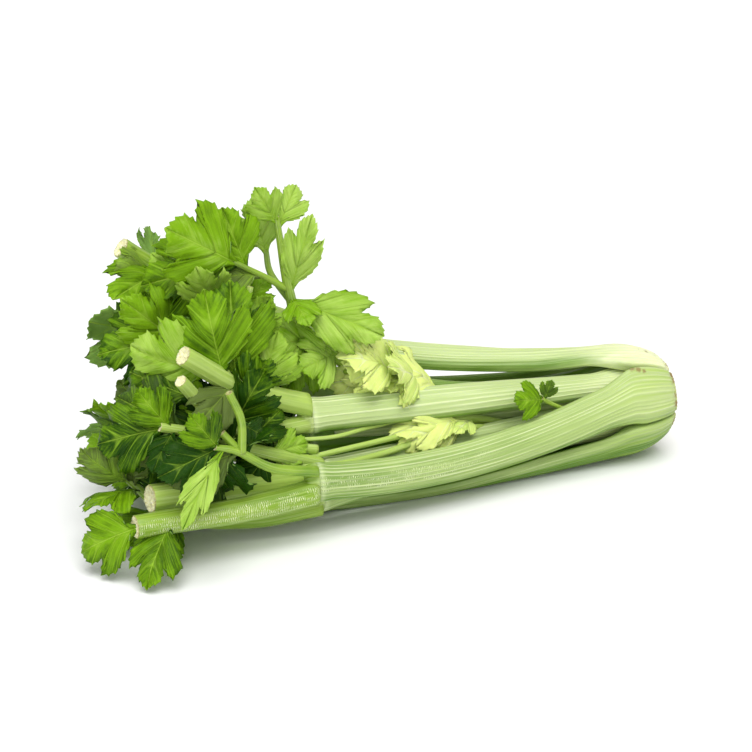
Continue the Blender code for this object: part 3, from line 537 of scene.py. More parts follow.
class Recipe:
    """A material being written, node by node."""

    def __init__(self, name):
        self.material = bpy.data.materials.new(name)
        self.material.use_nodes = True
        self.tree = self.material.node_tree
        self.shader = self.tree.nodes["Principled BSDF"]

    def node(self, kind, settings=None, inputs=None):
        node = self.tree.nodes.new(kind)
        for key, value in (settings or {}).items():
            setattr(node, key, value)
        self.feed(node, inputs or {})
        return node

    def feed(self, node, inputs):
        for key, value in inputs.items():
            socket = node.inputs[key]
            if isinstance(value, Field):
                value = value.socket
            if isinstance(value, bpy.types.NodeSocket):
                self.tree.links.new(value, socket)
            elif isinstance(value, (tuple, list)) and len(value) == 3 and len(socket.default_value) == 4:
                socket.default_value = (*value, 1.0)
            else:
                socket.default_value = value

    def number(self, kind, settings=None, inputs=None, output=0):
        return Field(self, self.node(kind, settings, inputs).outputs[output])

    def place(self):
        """Object coordinates, in metres."""
        return self.node("ShaderNodeTexCoord").outputs["Object"]

    def axis(self, vector, letter):
        return self.number("ShaderNodeSeparateXYZ", {}, {0: vector}, letter)

    def mark(self, name):
        """A number kept at the corners of the mesh."""
        return self.number("ShaderNodeAttribute", {"attribute_name": name}, {}, "Fac")

    def map(self, name):
        return self.node("ShaderNodeUVMap", {"uv_map": name}).outputs[0]

    def joined(self, x, y, z):
        """Three numbers as the place where a pattern is read."""
        return self.node("ShaderNodeCombineXYZ", {}, {0: x, 1: y, 2: z}).outputs[0]

    def stretched(self, vector, scale):
        return self.node("ShaderNodeMapping", {}, {"Vector": vector, "Scale": scale}).outputs[0]

    def noise(self, vector, scale, detail=3.0, roughness=0.55):
        sockets = {"Vector": vector, "Scale": scale, "Detail": detail, "Roughness": roughness}
        return self.number("ShaderNodeTexNoise", {}, sockets)

    def cells(self, vector, scale, feature="F1"):
        return self.number(
            "ShaderNodeTexVoronoi", {"feature": feature}, {"Vector": vector, "Scale": scale}, "Distance"
        )

    def blend(self, factor, a, b):
        """One colour turning into another."""
        node = self.node("ShaderNodeMix", {"data_type": "RGBA", "blend_type": "MIX", "clamp_factor": True})
        self.feed(node, {0: factor})
        sockets = [s for s in node.inputs if s.type == "RGBA"]
        for socket, value in zip(sockets, (a, b)):
            if isinstance(value, bpy.types.NodeSocket):
                self.tree.links.new(value, socket)
            else:
                socket.default_value = (*value, 1.0)
        return next(s for s in node.outputs if s.type == "RGBA")

    def relief(self, height, depth):
        """The shading of a skin that stands up by depth, in metres, where height is 1."""
        sockets = {"Strength": 1.0, "Distance": depth, "Height": height}
        return self.node("ShaderNodeBump", {}, sockets).outputs[0]

    def done(self, **sockets):
        self.feed(self.shader, {key.replace("_", " "): value for key, value in sockets.items()})
        return self.material


# Dried spots on the foot: where, and how far they reach
BRUISES = (
    ((175, -14, 68), 3.2),
    ((179, -15, 67), 3.0),
    ((183, -16, 66), 2.4),
    ((171, -13, 69), 2.2),
    ((190, 6, 74), 2.2),
    ((195, 4, 72), 2.4),
    ((200, 1, 70), 2.2),
    ((198, -20, 36), 2.0),
    ((203, -17, 39), 2.2),
)


def stalk_finish(
    name, look, flesh, greener=0.0, strings=1.0, rungs=0.0, lane=(0.20, 0.48), reach=(0.070, 0.015)
):
    """Blanched at the foot, greener towards the leaves, with pale strings standing along it, and painted shade
    along its shadier edge and in the hollows of darker stalks.

    strings is how strongly those show, and rungs how much of a fine ladder of cross wrinkles there is, in bump
    and with painted glints on the rungs: lane is where that lies round the stalk, and reach where it starts and
    is full along it.
    """
    r = Recipe(name)
    place = r.place()
    x = r.axis(place, "X")
    rib, cut, joint = r.mark("rib"), r.mark("cut"), r.mark("joint")
    skin = r.map("skin")
    round_it = r.axis(skin, "X")
    tone = r.mark("tone")
    fibres = r.joined(round_it * 38.0, r.axis(skin, "Y") * 11.0, tone * 17.0)
    streaks = r.noise(fibres, 1.0, 4.0, 0.6)
    broad = r.noise(r.stretched(place, (4.0, 40.0, 40.0)), 3.0, 2.0)
    patches = r.noise(place, 22.0, 2.0)
    specks = r.noise(place, 900.0, 2.0)
    foot = (x + (broad - 0.5) * 0.06).rise(0.120, 0.190)
    leafward = x.rise(0.06, -0.070)
    # Painted shade: the shadier edge of each stalk is painted deep green, with fewer pale strings and less of
    # the blanched foot on it.
    lower = r.mark("lower") * (1.0 - foot * tone)
    depth = leafward * (0.50 - tone * 0.3) + greener + (patches - 0.5) * 0.4 + (broad - 0.5) * 1.2 - tone * 0.4
    green = r.blend(depth + lower + (0.48 - streaks) * 1.2, flesh, look.deep)
    string = (rib * 0.7 + (streaks - 0.5) * 2.0 + (broad - 0.5) * 0.8).rise(0.10, 0.95) * strings
    flesh = r.blend(string * (0.48 + tone * 0.15) * (1.0 - 0.8 * lower), green, look.rib)
    flesh = r.blend((tone - 0.4) * 0.45 * strings * (1.0 - lower), flesh, look.rib)
    flesh = r.blend(foot * (0.05 + tone * 0.80) * (1.0 - 0.6 * lower), flesh, look.base)
    flesh = r.blend(foot * streaks.rise(0.42, 0.64) * (1.0 - rib * 0.5) * (0.75 - tone * 0.5), flesh, look.stem)
    inside = r.mark("inside")
    flesh = r.blend(inside * tone * 0.35, flesh, look.rib)
    # Painted shade: the hollow sides of the darker stalks, inside the head, are painted deep green.
    flesh = r.blend(inside * (0.8 - tone) * (1.0 - foot), flesh, look.deep)
    flesh = r.blend(joint * 0.30, flesh, look.rib)
    ends = r.noise(place, 700.0, 3.0)
    flesh = r.blend(cut, flesh, r.blend(ends.rise(0.30, 0.72), look.pith, look.base))
    flesh = r.blend((cut * (1.0 - cut) * 3.0).at_most(0.8) * ends.rise(0.3, 0.6), flesh, look.dried)
    height = streaks * 0.6 + specks * 0.08 + ends * cut * 1.4
    if rungs:
        steps = (r.axis(skin, "Y") * 5200.0 + r.noise(place, 500.0, 2.0) * 12.0).sine().rise(0.0, 0.9)
        lanes = round_it.rise(lane[0], lane[0] + 0.05) * round_it.rise(lane[1], lane[1] - 0.05)
        lanes = rib.rise(0.60, 0.15) * lanes
        where = r.noise(r.stretched(place, (40.0, 120.0, 120.0)), 2.6, 3.0).rise(0.38, 0.58)
        ladder = steps * lanes * where * x.rise(*reach) * rungs
        height = height + ladder
        # Painted highlight: the rungs are painted in the pale string colour as glints on the wrinkles, over
        # their bump.
        flesh = r.blend(ladder * 0.85, flesh, look.rib)
    dry = r.mark("dried") * r.noise(place, 210.0, 3.0).rise(0.42, 0.62)
    for bruise, size in BRUISES:
        away = r.number(
            "ShaderNodeVectorMath", {"operation": "DISTANCE"}, {0: place, 1: framed(bruise)}, "Value"
        )
        spot = (away * 1000.0 + (ends - 0.5) * 3.0).rise(size, size * 0.3)
        dry = dry.at_least(spot * 0.8)
    flesh = r.blend(dry, flesh, look.dried)
    return r.done(
        Base_Color=flesh,
        Roughness=(0.34 + patches * 0.10 + cut * 0.35 + dry * 0.3),
        Normal=r.relief(height, 0.0003),
        Subsurface_Weight=0.25,
        Subsurface_Radius=(0.9, 1.0, 0.25),
        Subsurface_Scale=0.004,
        Specular_IOR_Level=0.35,
        Coat_Weight=0.12,
        Coat_Roughness=0.25,
    )


def leaf_finish(name, heart, dark, bright, pale, vein, matt=0.0):
    """A blade with its midrib, side veins, a fine net, blotches of lighter and darker green, painted fold
    shading in streaks along the veins, and painted light and shade from its tone mark.
    """
    r = Recipe(name)
    place = r.place()
    leaf, fan = r.map("leaf"), r.map("fan")
    out = abs(r.axis(leaf, "Y") - 0.5)
    from_vein, reach = r.axis(fan, "X"), r.axis(fan, "Y")
    midrib = out.rise(0.012, 0.003)
    side = (from_vein * reach).rise(0.050, 0.008) * reach.rise(0.0, 0.1) * reach.rise(1.05, 0.60)
    shade = r.mark("tone")
    along_veins = r.joined(from_vein * 9.0, reach * 1.6, shade * 23.0)
    streaks = r.noise(along_veins, 1.0, 4.0, 0.65)
    fine = r.noise(r.stretched(along_veins, (5.0, 1.0, 1.0)), 1.0, 2.0)
    net = r.cells(place, 380.0, "DISTANCE_TO_EDGE").rise(0.09, 0.0)
    patches = r.noise(place, 60.0, 3.0)
    wide = r.noise(place, 22.0, 2.0)
    # Painted light and shade: the shade mark sets how lit each leaf is painted, and the streaks along the veins
    # and the darkening away from the side veins towards the edge are painted fold shading, over random blotches
    # of lighter and darker green.
    tone = shade + (wide - 0.5) * 1.2 + (patches - 0.5) * 0.7 + (streaks - 0.5) * 1.6
    tone = tone - from_vein * reach * 0.4 - 0.15
    body = r.blend(tone.rise(0.0, 1.0), dark, bright)
    body = r.blend((tone - 1.0) * 1.1 + (patches - 0.5) * 0.4, body, pale)
    body = r.blend(r.mark("young"), body, heart)
    lines = (midrib * 0.8).at_least(side * 0.40).at_least(fine.rise(0.60, 0.75) * reach.rise(0.05, 0.3) * 0.22)
    body = r.blend((lines + net * 0.06) * tone.rise(-0.4, 1.0, 0.35, 1.0), body, vein)
    sunk = midrib * 0.8 + side * 0.7 + fine * 0.3 + net * 0.15
    height = r.noise(place, 240.0, 2.0) * 0.4 + streaks * 0.7 - sunk
    return r.done(
        Base_Color=body,
        Roughness=0.38 + patches * 0.12 + matt,
        Normal=r.relief(height, 0.00035),
        Subsurface_Weight=0.10,
        Subsurface_Radius=(0.6, 1.0, 0.12),
        Subsurface_Scale=0.0014,
        Specular_IOR_Level=0.10,
    )


def crown_finish(name, look, dried):
    """Pale flesh with rings of string ends in the cut face, and dried spots."""
    r = Recipe(name)
    place = r.place()
    centre = framed((0, AXIS_Y, AXIS_Z))
    y = r.axis(place, "Y") - centre.y
    z = r.axis(place, "Z") - centre.z
    spread = ((y * y + z * z) ** 0.5) * 1000.0
    blots = r.noise(place, 120.0, 4.0)
    rings = ((spread + blots * 4.0) * 1.9).sine().rise(0.2, 0.9)
    dots = r.cells(place, 620.0).rise(0.42, 0.20)
    flesh = r.blend(rings * 0.35 + dots * 0.45, look.flesh, look.strings)
    dry = r.noise(place, 70.0, 4.0).rise(0.60, 0.78) * 0.75
    flesh = r.blend(dry, flesh, dried)
    return r.done(
        Base_Color=flesh,
        Roughness=0.62,
        Normal=r.relief(blots * 0.7 + dots * 0.3, 0.0007),
        Subsurface_Weight=0.15,
        Subsurface_Radius=(1.0, 0.9, 0.5),
        Subsurface_Scale=0.004,
    )


# Meshes, with the numbers that the finishes read at their corners
MARKS = ("rib", "cut", "joint", "inside", "dried", "lower", "tone", "young")


def new_mesh():
    """An empty bmesh with the maps and marks that the finishes read."""
    bm = bmesh.new()
    for name in ("skin", "leaf", "fan"):
        bm.loops.layers.uv.new(name)
    for name in MARKS:
        bm.verts.layers.float.new(name)
    return bm


def loft(bm, rows, marks, maps, closed):
    """A skin over rows of points, with each point's marks and each grid corner's places on the maps."""
    columns = len(rows[0]) if closed else len(rows[0]) - 1
    made = bmesh.ops.create_grid(bm, x_segments=columns, y_segments=len(rows) - 1, size=0.5)["verts"]
    layers = {name: bm.verts.layers.float[name] for name in MARKS}
    for k, vert in enumerate(made):
        j, i = divmod(k, columns + 1)
        vert.co = rows[j][i % len(rows[0])]
        for name, table in marks.items():
            vert[layers[name]] = table if isinstance(table, float) else table[j][i % len(rows[0])]
        for name, table in maps.items():
            layer = bm.loops.layers.uv[name]
            for loop in vert.link_loops:
                loop[layer].uv = table[j][i]
    welded = bmesh.ops.find_doubles(bm, verts=made, dist=2e-6)["targetmap"]
    bmesh.ops.weld_verts(bm, targetmap=welded)
    return [vert for vert in made if vert.is_valid]


def finished(name, bm, materials, slot, *nodes):
    """The bmesh as a piece that rides on the head and stands for those CAD nodes."""
    mesh = bpy.data.meshes.new(name)
    bm.to_mesh(mesh)
    bm.free()
    mesh.shade_smooth()
    piece = bpy.data.objects.new(name, mesh)
    bpy.context.scene.collection.objects.link(piece)
    for material in materials:
        mesh.materials.append(material)
    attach(piece, "root")
    if nodes:
        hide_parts(*nodes)
    return piece


def smooth(t):
    """0 to 1, easing at both ends."""
    t = min(1.0, max(0.0, t))
    return t * t * (3.0 - 2.0 * t)


def mix(a, b, t):
    return a + (b - a) * t


def direction(degrees):
    """The unit vector (y, z) at an angle round the head's axis."""
    return math.cos(math.radians(degrees)), math.sin(math.radians(degrees))


def rounding(x):
    """How far the head has rounded in towards its butt: 1 at the belly."""
    past = max(0.0, (x - BELLY_X) / (BUTT_X - BELLY_X))
    return math.sqrt(1.0 - (CURL_IN * past) ** 2)


def stalk_section(stalk, x):
    """Centre, facing, curl radius, half angle and wall of a stalk in the plane across the head at x."""
    layer = stalk.layer
    kx, ky, kz = stalk.knuckle
    k = rounding(x)
    along = max(0.0, (BELLY_X - x) / (BELLY_X - kx))
    facing_end = stalk.facing
    while facing_end - stalk.angle > 180:
        facing_end -= 360
    while facing_end - stalk.angle < -180:
        facing_end += 360
    facing = mix(stalk.angle, facing_end, smooth(along * 1.3))
    by, bz = direction(stalk.angle)
    base = (AXIS_Y + by * layer.radius * k, AXIS_Z + bz * layer.radius * k)
    bow = 4.0 * along * (1.0 - along)
    centre = (
        mix(base[0], ky, along**1.3) + stalk.bow[0] * bow,
        mix(base[1], kz, along**1.3) + stalk.bow[1] * bow,
    )
    curl = mix(layer.radius * k, stalk.curl, smooth(along * 3.0))
    closed = 2.0 * math.radians(stalk.wrap) * layer.radius * k
    width = mix(stalk.widths[0], stalk.widths[1], smooth(along * 1.6))
    closing = smooth((x - FLARE_X) / (CLOSED_X - FLARE_X))
    width = mix(width, closed, closing)
    wall = mix(layer.wall * k, stalk.wall, smooth(along * 2.0))
    joint = math.exp(-(((x - kx - 3.0) / 4.0) ** 2))
    return centre, facing, curl, width * (1 + 0.05 * joint) / 2 / curl, wall * (1 + 0.16 * joint), closing


OUTSIDE, EDGE, INSIDE = 76, 5, 24  # points across the ribbed side, round each edge and across the hollow side


def outline_steps():
    """The walk round a stalk: (share across, side of the wall, place round the edge)."""
    steps = [(mix(-1.0, 1.0, i / OUTSIDE), 1.0, 0.0) for i in range(OUTSIDE + 1)]
    steps += [(1.0, math.cos(math.pi * i / EDGE), math.sin(math.pi * i / EDGE)) for i in range(1, EDGE)]
    steps += [(mix(1.0, -1.0, i / INSIDE), -1.0, 0.0) for i in range(INSIDE + 1)]
    steps += [(-1.0, -math.cos(math.pi * i / EDGE), math.sin(math.pi * i / EDGE)) for i in range(1, EDGE)]
    return steps


STEPS = outline_steps()
INNER_SIDE = [1.0 if side < 0 else 0.0 for _, side, _ in STEPS]

# A ring of points round a stalk or stem, and its marks: the rib at each point, and how far it is cut or dried
Ring = namedtuple("Ring", "points ribs cut dried", defaults=[0.0, 0.0])


def fine_ring(stalk, x, ribs, height, seed, fill=1.0, at=None):
    """A stalk's outline across at x. fill draws the wall in to its own middle line; at sets it at another x."""
    centre, facing, curl, half, wall, closing = stalk_section(stalk, x)
    half *= 1.0 - 0.5 * (1.0 - fill) * wall / (curl * half)
    wall *= fill
    ny, nz = direction(facing)
    cy, cz = centre[0] - ny * curl, centre[1] - nz * curl
    lip = min(1.1, 0.15 * wall) / (curl * half)
    points, ridges = [], []
    for share, side, bulge in STEPS:
        place = share * (1.0 - lip) + math.copysign(lip * bulge, share)
        thin = mix(0.30, 1.0, math.sqrt(max(0.0, 1.0 - share * share)))
        thin = mix(thin, 1.0, closing)
        ridge = 0.0
        if side == 1.0:
            wander = 1.3 * noise.noise(Vector((x * 0.004, seed, share * 2.6)))
            wave = 0.5 + 0.5 * math.cos(math.pi * (ribs * share + wander))
            strength = 0.75 + 0.7 * noise.noise(Vector((x * 0.012, share * 9.0, seed)))
            sharp = 2.2 + 1.6 * noise.noise(Vector((share * 5.0, seed + 3.0, x * 0.006)))
            ridge = wave**sharp * strength * min(1.0, (1.0 - abs(share)) * 12.0)
        radius = curl + side * 0.5 * wall * thin + (ridge - 0.2) * height * fill
        radius += 0.22 * noise.noise(Vector((x * 0.03, share * 1.5 + seed, side)))
        dy, dz = direction(facing + math.degrees(half) * place)
        points.append(Vector((x if at is None else at, cy + dy * radius, max(cz + dz * radius, FLOOR_Z))))
        ridges.append(min(1.0, max(0.0, ridge)))
    return Ring(points, ridges)


def drawn_in(ring, share, out=Vector(), **marks):
    """A ring shrunk to its own middle and moved."""
    middle = sum(ring.points, Vector()) / len(ring.points)
    points = [middle + (p - middle) * share + out for p in ring.points]
    return ring._replace(points=points, ribs=[rib * share for rib in ring.ribs], **marks)


def skin_over(bm, rings, walk, **marks):
    """A closed skin over rings, with the place along the walk as its map.

    marks are one number each, or a row of numbers for every ring.
    """
    count = len(rings[0].points)
    rows = [[framed(p) for p in ring.points] for ring in rings]
    marks["rib"] = [ring.ribs for ring in rings]
    marks["cut"] = [[ring.cut] * count for ring in rings]
    marks["dried"] = [[ring.dried] * count for ring in rings]
    maps = {"skin": [[(i / count, step) for i in range(count + 1)] for step in walk]}
    loft(bm, rows, marks, maps, True)


def ribs_across(stalk, look):
    return {OUTER: look.ribs, INNER: 9, HEART: 8}[stalk.layer]


def stalk_rings(stalk, seed, look):
    """Rings from the butt to the knuckle, with a rounded lip at the butt and both ends closed."""
    kx, end = stalk.knuckle[0], stalk.layer.end_x
    ribs = ribs_across(stalk, look)
    height = look.rib_height / MM * (1.0 if stalk.layer is OUTER else 0.8)
    if stalk.wrap < 10:
        ribs, height = 4, 0.25
    lip = [fine_ring(stalk, end, ribs, height, seed, fill, end - back) for fill, back in
           ((0.72, 0.0), (0.86, 0.3), (0.95, 1.0), (1.0, 2.2))]
    rings = [drawn_in(lip[0], share, Vector((-dish, 0, 0)), cut=0.8, dried=0.6) for share, dish in
             ((0.0, 0.9), (0.30, 0.7), (0.60, 0.5), (0.86, 0.2))]
    rings += [ring._replace(cut=0.4 * (1 - i / 3), dried=0.9) for i, ring in enumerate(lip)]
    x = end - 3.4
    while x > kx + 9.0:
        dried = 0.9 * smooth((x - 202.0) / 5.0)
        rings.append(fine_ring(stalk, x, ribs, height, seed)._replace(dried=dried))
        x -= 1.6 if x > 184 else 2.6
    rings += [fine_ring(stalk, kx + d, ribs, height, seed) for d in (8.0, 6.5, 5.0, 4.0, 3.0, 2.0, 1.0, 0.4)]
    last = rings[-1]
    rings += [drawn_in(last, share, Vector((-0.4, 0, 0))) for share in (0.97, 0.6, 0.0)]
    return rings


# How pale a stalk is, which is partly its own colour and partly painted shade for the stalks that lie in shadow
# low and deep in the head, such as bottom and inner; and where across it the painted shade of its shadier edge
# starts
TONES = {
    "front": (0.20, 0.55),
    "top": (1.00, 0.35),
    "bottom": (0.0, -0.9),
    "back": (0.4, 0.6),
    "middle": (0.84, 0.50),
    "front_low": (0.15, 0.2),
    "back_low": (-0.1, 0.2),
    "rising": (0.3, 0.1),
    "inner": (-0.6, -1.5),
    "tucked": (0.70, 0.9),
    "sprig": (0.1, 0.5),
    "lime": (0.6, 0.5),
    "deep": (0.5, 0.5),
}


def build_stalk(name, stalk, seed, look, material):
    rings = stalk_rings(stalk, seed, look)
    kx = stalk.knuckle[0]
    tone, start = TONES[name]
    places = [ring.points[0].x for ring in rings]
    # Painted shade: rises across the ribbed side from start towards the stalk's shadier edge.
    lower = [smooth((share - start) / 0.5) for share, _, _ in STEPS]
    joint = [[math.exp(-(((x - kx - 1.6) / 1.7) ** 2))] * len(STEPS) for x in places]
    bm = new_mesh()
    skin_over(
        bm, rings, [(x - kx) * MM for x in places],
        inside=[INNER_SIDE] * len(rings), joint=joint, lower=[lower] * len(rings), tone=tone,
    )
    bmesh.ops.recalc_face_normals(bm, faces=bm.faces[:])
    finished("ribbed_" + name, bm, [material], "stalk", "stalk_" + name)


def build_heart(material):
    """The rolled heart: a ribbed roll that grows thinner towards the leaves."""
    sides, ridges, pieces = 36, 9, 60
    turns = [math.tau * j / sides for j in range(sides)]
    waves = [0.5 + 0.5 * math.cos(ridges * t) for t in turns]
    rings = []
    for i in range(pieces + 1):
        x = mix(CROWN_X - GAP, CORE_END_X, i / pieces)
        share = mix(1.0, 0.6, smooth((170.0 - x) / 80.0)) * mix(0.5, 1.0, smooth((x - CORE_END_X) / 40.0))
        radius = CORE_RADIUS * share * rounding(x)
        centre = Vector((x, AXIS_Y, AXIS_Z + 2.0 * smooth((BELLY_X - x) / 90.0)))
        points = [
            centre + Vector((0, math.cos(t), math.sin(t))) * radius * (0.96 + 0.05 * wave)
            for t, wave in zip(turns, waves)
        ]
        rings.append(Ring(points, waves))
    rings = [drawn_in(rings[0], 0.0), *rings, drawn_in(rings[-1], 0.0)]
    bm = new_mesh()
    skin_over(bm, rings, [0.003 * i for i in range(len(rings))], tone=0.8)
    bmesh.ops.recalc_face_normals(bm, faces=bm.faces[:])
    finished("rolled_heart", bm, [material], "stalk", "stalk_core")


# Stems


def curve_points(route, pieces):
    """A smooth curve through a route's points: that many pieces between each two."""
    points = [Vector(p) for p in route]
    ends = [points[0] * 2 - points[1], *points, points[-1] * 2 - points[-2]]
    curve = []
    for a, b, c, d in zip(ends, ends[1:], ends[2:], ends[3:]):
        for i in range(pieces):
            t = i / pieces
            curve.append(
                (b * 2 + (c - a) * t + (a * 2 - b * 5 + c * 4 - d) * t * t
                 + (b * 3 - a - c * 3 + d) * t * t * t) / 2
            )
    return curve + [points[-1]]


def rooted(branches):
    """The branches of a top, each side branch starting right on the branch that it grows out of."""
    table = {}
    for name, branch in branches.items():
        if branch.parent:
            start = Vector(branch.route[0])
            stem = curve_points(table[branch.parent].route, 8)
            nearest = min(stem, key=lambda p: (p - start).length)
            branch = branch._replace(route=[nearest, *branch.route[1:]])
        table[name] = branch
    return table


def point_along(branch, share):
    """The place on a branch at a share of its way, held back from its end so that a leaf there roots in it."""
    curve = curve_points(branch.route, 8)
    place = share * (len(curve) - 1)
    i = min(int(place), len(curve) - 2)
    point = curve[i].lerp(curve[i + 1], place - i)
    back = ROOTED - (curve[-1] - point).length
    return point + (curve[-2] - curve[-1]).normalized() * max(0.0, back)


def build_branch(bm, branch, edge, seed, tone):
    """A ribbed stem; a thick one ends in a rough, dished, pithy cut."""
    thick = branch.radii[0] > CUT_STEM
    sides = 48 if thick else 24
    ridges = 12 if thick else 6
    curve = curve_points(branch.route, 12)
    side = Vector((0, 0, 1))
    walked = 0.0
    rings, walk = [], []
    for i, p in enumerate(curve):
        before, after = curve[max(0, i - 1)], curve[min(len(curve) - 1, i + 1)]
        ahead = (after - before).normalized()
        side = (side - ahead * side.dot(ahead)).normalized()
        other = ahead.cross(side)
        radius = mix(*branch.radii, i / (len(curve) - 1))
        walked += (p - before).length
        points, ribs = [], []
        for j in range(sides):
            turn = math.tau * j / sides
            wave = (0.5 + 0.5 * math.cos(ridges * turn + seed)) ** 1.6
            rough = noise.noise(Vector((walked * 0.06, math.cos(turn) * 0.8 + seed, math.sin(turn) * 0.8)))
            arm = side * math.cos(turn) + other * math.sin(turn)
            points.append(p + arm * radius * (0.965 + 0.05 * wave + 0.05 * rough))
            ribs.append(wave * (0.45 + 0.5 * noise.noise(Vector((turn * 2.0, walked * 0.03, seed)))))
        rings.append(Ring(points, ribs))
        walk.append(walked * MM)
    last = rings[-1]
    pithy = 1.0 if thick and not branch.parent else 0.45
    cut_face = [
        drawn_in(last, share, ahead * radius * out, cut=cut * pithy)
        for share, out, cut in (
            (0.985, 0.05, 0.4), (0.93, 0.10, 0.9), (0.84, 0.06, 1.0), (0.70, -0.03, 1.0), (0.54, -0.07, 1.0),
            (0.38, -0.10, 1.0), (0.20, -0.08, 1.0), (0.0, -0.08, 1.0),
        )
    ]
    for ring in cut_face[1:-1]:
        for k, p in enumerate(ring.points):
            ring.points[k] = p + ahead * radius * 0.22 * noise.noise(p * 0.8 + Vector((seed, 0, 0)))
    rings = [drawn_in(rings[0], 0.0), drawn_in(rings[0], 0.7)] + rings + cut_face
    walk = [walk[0]] * 2 + walk + [walk[-1]] * len(cut_face)
    for ring in rings:
        for k, p in enumerate(ring.points):
            ring.points[k] = Vector((min(p.x, edge), p.y, max(p.z, FLOOR_Z)))
    skin_over(bm, rings, walk, tone=tone)


def build_collar(bm, stalk, seed, look, tone):
    """The stalk's own section run on past the knuckle, drawn in where the branches leave it."""
    kx = stalk.knuckle[0]
    ribs = ribs_across(stalk, look)
    profile = (
        (0.05, 0.98), (1.0, 0.99), (2.5, 0.97), (4.0, 0.93), (5.4, 0.84), (6.6, 0.70), (7.5, 0.50), (8.1, 0.25)
    )
    rings = [fine_ring(stalk, kx, ribs, 0.4, seed, fill, kx - back) for back, fill in profile]
    walk = [-back * MM for back, _ in profile]
    rings = [drawn_in(rings[0], share) for share in (0.0, 0.8)] + rings + [drawn_in(rings[-1], 0.0)]
    walk = [walk[0]] * 2 + walk + [walk[-1]]
    joint = [[0.8 * math.exp(-((step / 0.0022) ** 2))] * len(STEPS) for step in walk]
    skin_over(bm, rings, walk, joint=joint, tone=tone)


# Leaves


def blade_height(blade, x, y):
    """How far a leaf stands out of its plane, as a share of its length: arched along and cupped across."""
    wave = 0.10 * abs(y) * math.sin(9.0 * x + 5.0 * blade.cup + 3.0 * (y > 0))
    return 4.0 * blade.arch * x * (1.0 - x) - blade.cup * y * y + wave


def blade_place(blade, root, turn):
    """The matrix that sets a leaf on its branch: x runs to the tip, z the way it faces."""
    swing, tilt, roll, size = turn
    ahead = Vector(blade.tip) - root
    length = ahead.length * size
    ahead.normalize()
    up = Vector(blade.facing)
    up = (up - ahead * up.dot(ahead)).normalized()
    across = up.cross(ahead)
    basis = Matrix((ahead, across, up)).transposed()
    turned = (
        Quaternion((0, 0, 1), math.radians(swing)).to_matrix()
        @ Quaternion((0, 1, 0), math.radians(tilt)).to_matrix()
        @ Quaternion((1, 0, 0), math.radians(roll)).to_matrix()
    )
    return Matrix.Translation(root) @ (basis @ turned).to_4x4() @ Matrix.Scale(length, 4)


def turns_to_try():
    """The ways that the frame's leaves may be bent clear of each other, the smallest first."""
    bends = (0, 10, -10, 22, -22, 36, -36)
    tries = [
        (abs(s) + abs(t) + 0.6 * abs(r) + 130 * (1 - k), s, t, r, k)
        for s in bends
        for t in bends
        for r in (0, 25, -25)
        for k in (1.0, 0.84, 0.7)
    ]
    return [t[1:] for t in sorted(tries)]


def seated_as_in_frame(name, blades):
    """Each leaf's place: the turn whose corners are found on the frame's own leaf."""
    node = frame["nodes"]["leaves_" + name]
    corners = KDTree(len(node.data.vertices))
    for k, vertex in enumerate(node.data.vertices):
        corners.insert(vertex.co, k)
    corners.balance()
    branches = rooted(BRANCHES[name])
    outline = HALF_OUTLINE + [(s, x, -y) for s, x, y in HALF_OUTLINE[:-1]]
    for blade in blades:
        root = point_along(branches[blade.branch], blade.along)
        best, most = None, -1
        for turn in turns_to_try():
            place = blade_place(blade, root, turn)
            half = CAD_BLADE / 2 / place.to_scale().x
            hits = 0
            for _, x, y in outline:
                y *= blade.broad
                point = framed(place @ Vector((x, y, blade_height(blade, x, y) + half)))
                hits += corners.find(point)[2] < 2e-5
            if hits > most:
                best, most = place, hits
            if hits > len(outline) - 6:
                break
        if most < 5:
            raise RuntimeError("a leaf of " + name + " isn't on the frame")
        yield blade, best


def fine_outline(rng):
    """Half an outline with its small teeth: (vein's start, along, out, how far from a side vein)."""
    points = []
    for k, (a, b) in enumerate(zip(LEAF_EDGE, LEAF_EDGE[1:])):
        start, run = Vector(a[1:]), Vector((b[1] - a[1], b[2] - a[2]))
        out = Vector((-run.y, run.x)).normalized()
        deep = rng.uniform(0.55, 1.1)
        for t, bite in ((0.0, 0.0), *TEETH[k]):
            slide = rng.uniform(-0.03, 0.03) if t else 0.0
            x, y = start + run * (t + slide) + out * bite * deep
            near = min(abs(k + t - v) for v in VEINED)
            points.append((mix(a[0], b[0], t), x, max(0.0, y), near))
    points.append((1.0, 1.0, 0.0, 0.0))
    return points


ROWS_ACROSS = 9
INMOST, OUTMOST = (Vector(corner) for corner in CAD_BOX)


def in_the_box(point):
    """The point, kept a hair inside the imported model's box."""
    inset = 0.0002
    return Vector([min(max(c, lo + inset), hi - inset) for c, lo, hi in zip(point, INMOST, OUTMOST)])


